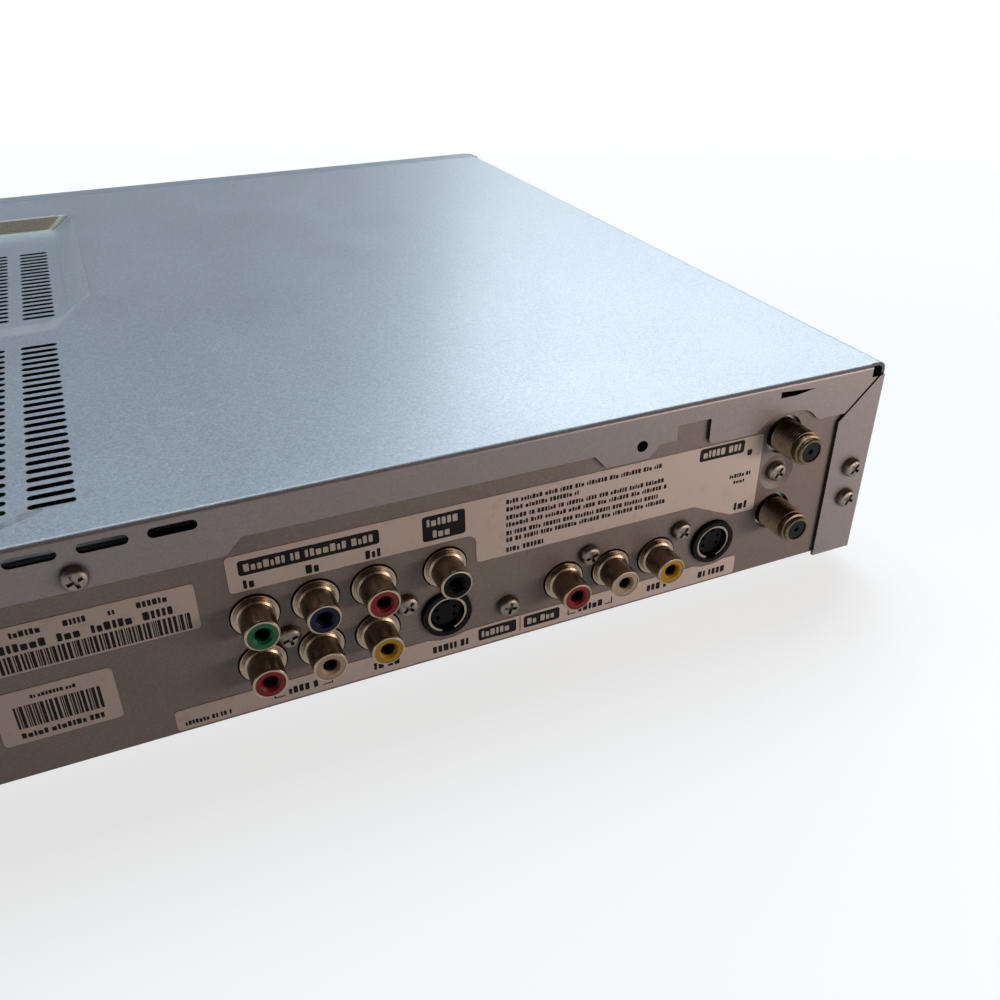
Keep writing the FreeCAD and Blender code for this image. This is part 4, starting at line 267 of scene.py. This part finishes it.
# A finish for each material slot of the record
materials = {
    "silver_paint": silver,
    # rear panel: a darker, warmer paint than the cover's, which also holds painted shade and painted warm
    # reflection
    "panel_steel": metallic_paint("panel_paint", rgb(116, 104, 98), 0.1, 0.12, (0.45, 0.58),
                                  rgb(108, 97, 91), 0.12),
    "zinc_steel": metal("zinc_sheet", rgb(158, 160, 162), rgb(120, 122, 126), (0.3, 0.5), EVEN, 120.0, 0.05),
    "screw_steel": metal("screw_plating", rgb(128, 120, 112), rgb(88, 80, 74), (0.34, 0.5), EVEN, 1400.0),
    "label_film": film("label_film", rgb(214, 203, 197)),
    "black_moulding": plastic("black_plastic", rgb(7, 6, 7), (0.3, 0.45), specular=0.08),
    "plating": metal("warm_nickel", rgb(154, 138, 120), rgb(118, 102, 84), (0.26, 0.36), ALONG_Y,
                     1500.0, 0.08, 0.4),
    "red_insert": plastic("red_ring", rgb(128, 24, 24), (0.3, 0.42), 2500.0, specular=0.25),
    "white_insert": plastic("white_ring", rgb(186, 170, 148), (0.3, 0.42), 2500.0, specular=0.25),
    "yellow_insert": plastic("yellow_ring", rgb(182, 142, 22), (0.3, 0.42), 2500.0, specular=0.25),
    "green_insert": plastic("green_ring", rgb(20, 104, 62), (0.3, 0.42), 2500.0, specular=0.25),
    "blue_insert": plastic("blue_ring", rgb(12, 20, 50), (0.3, 0.42), 2500.0, specular=0.15),
    "rf_brass": metal("aged_brass", rgb(106, 90, 72), rgb(74, 62, 49), (0.32, 0.46), EVEN,
                      1200.0, 0.06, 0.6),
    "insulator": plastic("dark_insulator", rgb(11, 9, 10), (0.35, 0.5), 2500.0, specular=0.12),
    "rubber_pad": plastic("rubber_pad", rgb(32, 31, 31), (0.7, 0.9), 900.0, 0.3),
    "bezel_plastic": plastic("front_plastic", rgb(140, 145, 152), (0.3, 0.42), 2600.0, 0.1, 0.03, 0.2),
    "button_plastic": plastic("key_plastic", rgb(168, 172, 178), (0.24, 0.34), 2600.0, 0.08, 0.03, 0.3),
    "window_plastic": plastic("smoked_window", rgb(12, 13, 15), (0.06, 0.12), 400.0, 0.02, 0.05, 0.15, 0.35),
    "display_glass": plastic("display_glass", rgb(30, 40, 42), (0.08, 0.15), 600.0, 0.02, 0.1, 0.6),
    "board": circuit_board("circuit_board"),
    "chip_epoxy": plastic("chip_epoxy", rgb(34, 34, 36), (0.55, 0.7), 2200.0, 0.2),
    "capacitor_sleeve": plastic("capacitor_sleeve", rgb(30, 38, 72), (0.25, 0.35), 700.0, 0.05),
    "ferrite": plastic("ferrite", rgb(60, 56, 54), (0.5, 0.7), 800.0, 0.3, 0.15),
    "drive_plastic": plastic("drive_plastic", rgb(44, 44, 46), (0.45, 0.6), 1500.0, 0.2),
    "tray_plastic": plastic("tray_plastic", rgb(58, 58, 61), (0.5, 0.62), 1900.0, 0.25),
    "clamper_plastic": plastic("clamper_plastic", rgb(206, 203, 194), (0.35, 0.5), 1500.0, 0.1),
    "gear_plastic": plastic("gear_plastic", rgb(210, 206, 192), (0.35, 0.5), 1500.0, 0.1),
    "belt_rubber": plastic("belt_rubber", rgb(24, 24, 24), (0.7, 0.85), 1200.0, 0.3),
    "motor_steel": metal("motor_can", rgb(172, 172, 172), rgb(128, 128, 130), (0.22, 0.34), ALONG_Z, 900.0),
    "rod_steel": metal("ground_rod", rgb(196, 196, 198), rgb(150, 150, 152), (0.12, 0.2), ALONG_Y,
                       1500.0, 0.05),
    "pickup_plastic": plastic("pickup_body", rgb(66, 66, 70), (0.4, 0.55), 1600.0, 0.2),
    "cable": plastic("lead_sleeve", rgb(176, 176, 172), (0.4, 0.5), 500.0, 0.1),
}


def region(made, place_limits=(), normal_limits=()):
    """Mask of a part of a surface, by its place in millimetres and the way that it faces."""
    tree = made.node_tree
    at = add(tree, "ShaderNodeSeparateXYZ", {}, {0: place(tree)})
    facing = add(tree, "ShaderNodeSeparateXYZ", {},
                 {0: add(tree, "ShaderNodeNewGeometry").outputs["True Normal"]})
    mask = None
    for source, limits, unit in ((at, place_limits, MM), (facing, normal_limits, 1.0)):
        for axis, low, high in limits:
            one = within(tree, source.outputs[axis], low * unit, high * unit)
            mask = times(tree, mask, one) if mask else one
    return mask


def recolour(made, mask, colour, metal_there=None):
    """Another colour, given or worked out from the present one, where the mask is 1."""
    tree = made.node_tree
    shader = tree.nodes["Principled BSDF"]
    base = shader.inputs["Base Color"].links[0].from_socket
    other = colour(tree, base) if callable(colour) else colour
    tree.links.new(blend_colours(tree, mask, base, other), shader.inputs["Base Color"])
    if metal_there is not None:
        metal_now = shader.inputs["Metallic"].default_value
        tree.links.new(spread(tree, mask, metal_now, metal_there, 0.0, 1.0), shader.inputs["Metallic"])


def toned(r, g, b):
    """Tint for recolour, which keeps the grain."""
    return lambda tree, base: shade(tree, base, (r, g, b, 1.0))


def painted_rear_shade_and_reflection(tree, base):
    """Warm, smoother, darker tone of the flanges on the rear: painted shade and painted warm reflection."""
    plain = shade(tree, rgb(127, 111, 104), spread(tree, noise(tree, 30.0, 4.0), 0.96, 1.03))
    return painted_crevice_shade(tree, blend_colours(tree, 0.3, plain, base))


# Ways that a face of the cover can turn, as limits on its normal
TO_THE_REAR = ("Y", 0.8, 1.1)
LEANING_REARWARD = ("Y", 0.2, 0.8)
RECESS_WALL_TURN = ("Y", 0.3, 1.1)
ALONG_THE_REAR = ("Y", -0.2, 0.2)
DOWNWARD = ("Z", -1.1, -0.5)
UPRIGHT = ("Z", -0.3, 0.3)

# Places on the cover, in millimetres
FLANGE = ("Y", 144.3, 145.5)
REAR_BEND = ("Y", 142.0, 145.5)
CUT_END = ("Y", 143.3, 144.1)
FLANGE_EDGE = ("Y", 143.85, 144.95)
RECESS_FRONT_WALL = ("Y", -118.0, -100.0)
VENT_COLUMNS = ("X", -5.1, 88.9)

# Each patch: limits on place, limits on normal, colour or tint, and how metallic it is there if that changes
COVER_PATCHES = (
    # rear flanges: painted shade and painted warm reflection
    ((FLANGE,), (TO_THE_REAR,), painted_rear_shade_and_reflection, None),
    # bend along the rear, darker and warmer: painted shade that tones down its highlight
    ((REAR_BEND,), (LEANING_REARWARD, ("Z", 0.2, 1.0)), toned(0.72, 0.66, 0.62), None),
    # cut ends of the sheet in the corner reliefs, painted near black as the shade there
    ((CUT_END, ("Z", 60.0, 65.5)), (TO_THE_REAR,), rgb(20, 18, 17), None),
    # front wall of the recess, which mirrors a brown room
    ((RECESS_FRONT_WALL,), (RECESS_WALL_TURN, ("Z", 0.1, 0.95)), toned(0.66, 0.49, 0.25), None),
    # cut edges of the flanges and their slots, painted dark brown as the shade on them
    ((("X", -208.0, 208.0), FLANGE_EDGE, ("Z", 5.0, 64.0)), (ALONG_THE_REAR,), rgb(30, 22, 18), None),
    # underside of the top, painted near black as the shade inside the case
    ((("Z", 63.5, 64.6),), (DOWNWARD,), rgb(20, 20, 22), None),
    # walls of the vent slots, then those in the recess's floor: painted shade inside the slots
    ((VENT_COLUMNS, ("Y", -79.0, 133.0)), (UPRIGHT,), rgb(22, 23, 25), None),
    ((VENT_COLUMNS, ("Y", -110.0, 30.0), ("Z", 59.5, 60.6)), (UPRIGHT,), rgb(78, 81, 86), 0.0),
    # side wall of the recess, lighter: painted light where the slope faces away from the lamps
    ((("X", -25.0, 0.0), ("Y", -110.0, 100.0)), (("X", 0.2, 0.9), ("Z", 0.3, 0.98)),
     toned(1.14, 1.2, 1.2), None),
)
for place_limits, normal_limits, colour, metal_there in COVER_PATCHES:
    recolour(silver, region(silver, place_limits, normal_limits), colour, metal_there)


def smear(made, start, end, half_width, colour):
    """Dull streak left on the top by old tape, along a line given by two points seen from above."""
    tree = made.node_tree
    along = (Vector(end) - Vector(start)).normalized()
    at = place(tree)
    across = add(tree, "ShaderNodeVectorMath", {"operation": "DOT_PRODUCT"},
                 {0: at, 1: (-along.y, along.x, 0.0)}).outputs["Value"]
    middle = (-along.y * start[0] + along.x * start[1]) * MM
    offset = calculate(tree, "ABSOLUTE", calculate(tree, "SUBTRACT", across, middle))
    mask = times(tree, spread(tree, offset, 1.0, 0.0, 0.5 * half_width * MM, half_width * MM),
                 spread(tree, noise(tree, 260.0, 4.0), 0.15, 0.8, 0.35, 0.6))
    mask = times(tree, mask, region(made, (("X", start[0], end[0]), ("Z", 64.5, 65.5))))
    recolour(made, mask, colour)


TAPE_START, TAPE_END = (3.0, 131.2), (36.0, 149.1)
smear(silver, TAPE_START, TAPE_END, 1.5, rgb(104, 101, 90))

slots = {entry["node"]: entry["material_slot"] for entry in frame["record"]["subparts"]}
for name, node in frame["nodes"].items():
    node.data.materials.clear()
    node.data.materials.append(materials[slots[name]])


# Prints on the labels

def rear_point(distance, drop, y):
    """Place on the rear: distance from the side edge by the aerial sockets and depth below the top."""
    return Vector(((distance - WIDTH / 2) * MM, y * MM, (TOP - drop) * MM))


def rounded(near, far, high, low, radius=0.0, steps=4):
    """Corners of a rounded rectangle, as (distance, drop)."""
    radius = min(radius, (far - near) / 2 - 0.01, (low - high) / 2 - 0.01)
    if radius <= 0:
        return [(near, high), (far, high), (far, low), (near, low)]
    corners = ((far - radius, high + radius, -90), (far - radius, low - radius, 0),
               (near + radius, low - radius, 90), (near + radius, high + radius, 180))
    points = []
    for a, b, start in corners:
        for i in range(steps + 1):
            angle = math.radians(start + 90 * i / steps)
            points.append((a + radius * math.cos(angle), b + radius * math.sin(angle)))
    return points


def finished(name, made, finish):
    """Piece of the case with one material, made from the mesh data given."""
    bmesh.ops.recalc_face_normals(made, faces=made.faces)
    mesh = bpy.data.meshes.new(name)
    made.to_mesh(mesh)
    made.free()
    piece = bpy.data.objects.new(name, mesh)
    scene.collection.objects.link(piece)
    mesh.materials.append(finish)
    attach(piece, "case")
    return piece


def printed(name, outlines, finish, y0):
    """Thin raised print on the rear, one prism for each outline."""
    made = bmesh.new()
    for outline in outlines:
        low = [made.verts.new(rear_point(a, b, y0)) for a, b in outline]
        high = [made.verts.new(rear_point(a, b, y0 + INK)) for a, b in outline]
        made.faces.new(high)
        for i in range(len(outline)):
            j = (i + 1) % len(outline)
            made.faces.new((low[i], low[j], high[j], high[i]))
    return finished(name, made, finish)


def words(near, far, drop, height, seed, spacing=1.0):
    """Row of plain blocks in groups, from far to near, which stands for a line of print and says nothing."""
    row = []
    at = far
    step = seed
    while at > near + 0.7 * height:
        step = (step * 37 + 11) % 101
        for i in range(2 + step % 6):
            step = (step * 53 + 29) % 101
            width = height * (0.34 + 0.28 * (step % 3) / 2)
            if at - width < near:
                break
            top = drop - height / 2 * (1.0 if step % 4 else 0.55)
            row.append(rounded(at - width, at, top, drop + height / 2, height * 0.08, 1))
            at -= width + 0.2 * height
        at -= 0.55 * height * spacing
    return row


def bars(near, far, high, low, seed):
    """Plain upright stripes of uneven width, which say nothing."""
    row = []
    at = far
    step = seed
    while at > near + 0.6:
        step = (step * 29 + 7) % 97
        width = 0.22 + 0.22 * (step % 3)
        row.append([(at - width, high), (at, high), (at, low), (at - width, low)])
        at -= width + 0.18 + 0.12 * (step % 3)
    return row


ink = plastic("label_ink", rgb(10, 8, 8), (0.5, 0.6), 1500.0, 0.1, 0.1, specular=0.12)
pale_ink = plastic("pale_ink", rgb(196, 190, 182), (0.45, 0.55), 1500.0, 0.1, 0.05)
red_ink = plastic("red_ink", rgb(150, 62, 54), (0.45, 0.55), 1500.0, 0.1, 0.05)

# Dark fields with rounded corners: near, far, high and low edge, and corner radius
PILLS = ((145.8, 178.0, 15.6, 19.5, 0.7), (124.5, 135.3, 15.4, 22.3, 0.7), (44.5, 58.5, 14.5, 18.3, 0.7),
         (111.0, 121.7, 52.9, 56.7, 0.6), (98.3, 108.8, 52.9, 56.7, 0.6))
# Rows of blocks on them: near and far end, drop of the middle, and seed
PILL_ROWS = ((147.2, 176.8, 17.55, 5), (125.6, 134.2, 17.3, 9), (127.0, 132.8, 20.6, 3),
             (45.6, 57.4, 16.4, 21), (112.0, 120.8, 54.8, 8), (99.2, 107.8, 54.8, 14))
PILL_BLOCK = 2.0
# Small print between the sockets: near end and drop of each line
SMALL_PRINT = ((70.0, 16.5), (94.0, 18.6), (67.5, 21.0), (67.5, 23.1), (69.5, 25.5), (68.0, 27.5))
SMALL_PRINT_FAR = 113.8
SMALL_BLOCK = 1.25
# Captions of the sockets: near and far end, drop, height of the blocks, and seed
CAPTIONS = ((174.6, 177.4, 21.9, 2.3, 2), (159.6, 163.4, 21.9, 2.3, 5), (145.6, 149.4, 21.9, 2.3, 4),
            (40.3, 43.2, 18.5, 2.3, 6), (41.0, 48.0, 25.2, 1.2, 8), (42.0, 46.5, 27.2, 1.0, 12),
            (39.8, 45.2, 35.2, 2.4, 9), (84.6, 92.6, 55.4, 2.1, 17), (63.4, 71.2, 55.2, 2.1, 19),
            (163.2, 171.2, 55.4, 2.1, 16), (142.2, 149.8, 55.4, 2.1, 23), (123.4, 134.2, 55.6, 2.1, 25),
            (44.3, 54.5, 55.6, 2.1, 27), (184.2, 195.6, 56.4, 1.3, 31))
# Brackets below two pairs of sockets: feet, then uprights
BRACKET_FEET = ((82.2, 84.4), (93.4, 95.8), (160.4, 162.8), (172.2, 174.8))
BRACKET_UPRIGHTS = (82.2, 95.5, 160.4, 174.5)
BRACKET_TOP, BRACKET_FOOT, BRACKET_LINE = 54.4, 56.2, 0.3
# Rule between the two lower fields: near, far, high and low edge
RULE = (109.75, 110.0, 52.6, 57.4)
# Plates beside the sockets: stripes as near, far, high, low and seed; rows as captions, with the gap last
PLATE_STRIPES = ((188.6, 242.0, 25.6, 29.9, 13), (210.8, 228.4, 38.9, 45.0, 19))
PLATE_ROWS = ((190.0, 240.0, 20.6, 1.5, 6, 5.0), (189.2, 242.0, 23.8, 2.1, 15, 1.6),
              (210.8, 228.4, 47.0, 1.5, 12, 0.6), (215.0, 224.5, 37.0, 1.0, 10, 0.6))

printed("label_pills", [rounded(*pill) for pill in PILLS], ink, LABEL_FACE)

marks = []
for near, far, drop, seed in PILL_ROWS:
    marks += words(near, far, drop, PILL_BLOCK, seed, 0.8)
printed("label_pill_marks", marks, pale_ink, LABEL_FACE + INK)

text = []
for i, (near, drop) in enumerate(SMALL_PRINT):
    text += words(near, SMALL_PRINT_FAR, drop, SMALL_BLOCK, 7 + 5 * i, 0.8)
text += words(102.6, SMALL_PRINT_FAR, 30.4, 1.4, 33)
for near, far, drop, height, seed in CAPTIONS:
    text += words(near, far, drop, height, seed, 0.6)
for near, far in BRACKET_FEET:
    text.append(rounded(near, far, BRACKET_FOOT, BRACKET_FOOT + BRACKET_LINE))
for at in BRACKET_UPRIGHTS:
    text.append(rounded(at, at + BRACKET_LINE, BRACKET_TOP, 56.3))
printed("label_marks", text, ink, LABEL_FACE)
printed("label_rule", [rounded(*RULE)], red_ink, LABEL_FACE)

plate = []
for stripes in PLATE_STRIPES:
    plate += bars(*stripes)
for row in PLATE_ROWS:
    plate += words(*row)
printed("plate_marks", plate, ink, LABEL_FACE)


# Contact sleeves in the phono sockets, painted near black as the shade in their holes

def ring(made, centre, y, radius, sides):
    """Points round an axis along Y, or the one point on it; sizes in metres."""
    if radius == 0:
        return [made.verts.new((centre.x, y, centre.z))]
    angles = [math.tau * i / sides for i in range(sides)]
    return [made.verts.new((centre.x + radius * math.cos(a), y, centre.z + radius * math.sin(a)))
            for a in angles]


def turned_piece(name, places, profile, finish, sides=32):
    """Solids turned about axes along Y; the profile is (y, radius) in millimetres, closed on itself."""
    made = bmesh.new()
    for distance, drop in places:
        centre = rear_point(distance, drop, 0)
        rings = [ring(made, centre, y * MM, radius * MM, sides) for y, radius in profile]
        for first, second in zip(rings, rings[1:] + rings[:1]):
            for i in range(sides):
                j = (i + 1) % sides
                corners = [first[i % len(first)], first[j % len(first)], second[j % len(second)],
                           second[i % len(second)]]
                corners = list(dict.fromkeys(corners))
                if len(corners) > 2:
                    made.faces.new(corners)
    for face in made.faces:
        face.smooth = True
    return finished(name, made, finish)


PHONO_PITCH = 14.0
OUTPUT_ROWS = (30.8, 44.6)
FIRST_OUTPUT = 176.0
DIGITAL_SOCKET = (130.1, 30.8)
FIRST_INPUT = (97.4, 44.6)
phono_places = [(FIRST_OUTPUT - PHONO_PITCH * i, drop) for drop in OUTPUT_ROWS for i in range(3)]
phono_places += [DIGITAL_SOCKET] + [(FIRST_INPUT[0] - PHONO_PITCH * i, FIRST_INPUT[1]) for i in range(3)]
# Depth below the socket's tip and radius, along the sleeve's section
SLEEVE = ((7.0, 0.0), (7.0, 1.7), (1.3, 1.7), (1.5, 1.5), (6.0, 1.4), (6.0, 0.0))
# near-black finish: painted shade inside the sockets
contact = plastic("contact_shadow", rgb(9, 8, 8), (0.4, 0.5), 1500.0, 0.1, 0.1, specular=0.1)
turned_piece("contact_sleeves", phono_places, [(PHONO_TIP - depth, radius) for depth, radius in SLEEVE],
             contact)


# Floor, light and camera

FLOOR_REACH = 30.0
floor_mesh = bpy.data.meshes.new("floor")
floor_corners = [(x * FLOOR_REACH, y * FLOOR_REACH, 0) for x, y in ((-1, -1), (1, -1), (1, 1), (-1, 1))]
floor_mesh.from_pydata(floor_corners, [], [(0, 1, 2, 3)])
floor = bpy.data.objects.new("floor", floor_mesh)
scene.collection.objects.link(floor)


def seen_directly(tree):
    """1 for rays from the camera, mirrors and glass, 0 for light scattered by matt surfaces."""
    path = add(tree, "ShaderNodeLightPath").outputs
    either = calculate(tree, "MAXIMUM", path["Is Camera Ray"], path["Is Glossy Ray"])
    return calculate(tree, "MAXIMUM", either, path["Is Transmission Ray"])


# Share of the shading that the white floor keeps, fading out between two distances in metres
SHADOW_KEPT = 0.27
SHADOW_NEAR, SHADOW_FAR = 0.3, 0.8
FLOOR_SEEN = (0.95, 0.95, 0.95, 1.0)
FLOOR_GLOW = (0.135, 0.092, 0.072, 1.0)
WHITE = (1, 1, 1, 1)
floor_material, tree, shader = material("pale_floor")
shader.inputs["Roughness"].default_value = 0.9
shader.inputs["Specular IOR Level"].default_value = 0.0
tree.links.new(blend_colours(tree, seen_directly(tree), FLOOR_GLOW, FLOOR_SEEN), shader.inputs["Base Color"])
white = add(tree, "ShaderNodeEmission", {}, {"Color": WHITE, "Strength": 1.0})
from_middle = add(tree, "ShaderNodeVectorMath", {"operation": "LENGTH"}, {0: place(tree)}).outputs["Value"]
whiteness = times(tree, seen_directly(tree),
                  spread(tree, from_middle, 1 - SHADOW_KEPT, 1.0, SHADOW_NEAR, SHADOW_FAR))
mixed = add(tree, "ShaderNodeMixShader", {}, {0: whiteness, 1: shader.outputs[0], 2: white.outputs[0]})
tree.links.new(mixed.outputs[0], tree.nodes["Material Output"].inputs["Surface"])
floor_mesh.materials.append(floor_material)

ROOM_GLOW = (1.0, 0.7, 0.58, 1.0)
# Mirrors see a white backdrop round the horizon, which fades out between these heights to a dim ceiling
BACKDROP_LOW, BACKDROP_HIGH = 0.02, 0.2
world = bpy.data.worlds.new("studio")
scene.world = world
world.use_nodes = True
tree = world.node_tree
background = tree.nodes["Background"]
background.inputs["Color"].default_value = ROOM_GLOW
background.inputs["Strength"].default_value = 0.03
seen = add(tree, "ShaderNodeBackground", {}, {"Color": WHITE, "Strength": 1.0})
height = add(tree, "ShaderNodeSeparateXYZ", {},
             {0: add(tree, "ShaderNodeTexCoord").outputs["Generated"]}).outputs["Z"]
backdrop = times(tree, seen_directly(tree), spread(tree, height, 1.0, 0.0, BACKDROP_LOW, BACKDROP_HIGH))
shown = calculate(tree, "MAXIMUM", add(tree, "ShaderNodeLightPath").outputs["Is Camera Ray"], backdrop)
mix = add(tree, "ShaderNodeMixShader", {}, {0: shown, 1: background.outputs[0], 2: seen.outputs[0]})
tree.links.new(mix.outputs[0], tree.nodes["World Output"].inputs["Surface"])


def lamp(name, at, target, size, power, colour):
    """Soft rectangular lamp aimed at a point; metres and watts."""
    data = bpy.data.lights.new(name, "AREA")
    data.shape = "RECTANGLE"
    data.size, data.size_y = size
    data.energy = power
    data.color = colour
    made = bpy.data.objects.new(name, data)
    made.location = at
    made.rotation_mode = "QUATERNION"
    made.rotation_quaternion = (Vector(target) - Vector(at)).to_track_quat("-Z", "Y")
    scene.collection.objects.link(made)


lamp("window_light", (-1.45, -1.46, 1.42), (-0.1, 0.05, 0.06), (1.7, 1.4), 42.0, (0.8, 0.915, 1.0))
lamp("overhead", (-0.05, -1.1, 2.35), (0, 0, 0), (1.5, 1.5), 48.5, (0.73, 0.885, 1.0))
lamp("rear_fill", (-0.33, 0.39, 0.055), (-0.12, 0.145, 0.035), (0.24, 0.06), 0.56, (1.0, 0.82, 0.73))
lamp("left_fill", (1.6, -0.25, 0.5), (0.1, 0, 0.06), (1.0, 0.8), 10.0, (0.8, 0.92, 1.0))

# Camera fitted to the photo: place in metres, way that it looks, way that is up, and lens in millimetres
CAMERA_AT = (-0.01557, 0.32379, 0.16898)
FORWARD = Vector((-0.34372, -0.78217, -0.51968)).normalized()
UP = Vector((-0.21377, -0.47370, 0.85435)).normalized()
SENSOR_WIDTH, LENS = 36.0, 34.58
camera_data = bpy.data.cameras.new("camera")
camera_data.sensor_width = SENSOR_WIDTH
camera_data.lens = LENS
camera_data.clip_start = 0.01
camera = bpy.data.objects.new("camera", camera_data)
right = FORWARD.cross(UP).normalized()
up = right.cross(FORWARD)
camera.matrix_world = Matrix((
    (right.x, up.x, -FORWARD.x, CAMERA_AT[0]),
    (right.y, up.y, -FORWARD.y, CAMERA_AT[1]),
    (right.z, up.z, -FORWARD.z, CAMERA_AT[2]),
    (0, 0, 0, 1)))
scene.collection.objects.link(camera)
scene.camera = camera
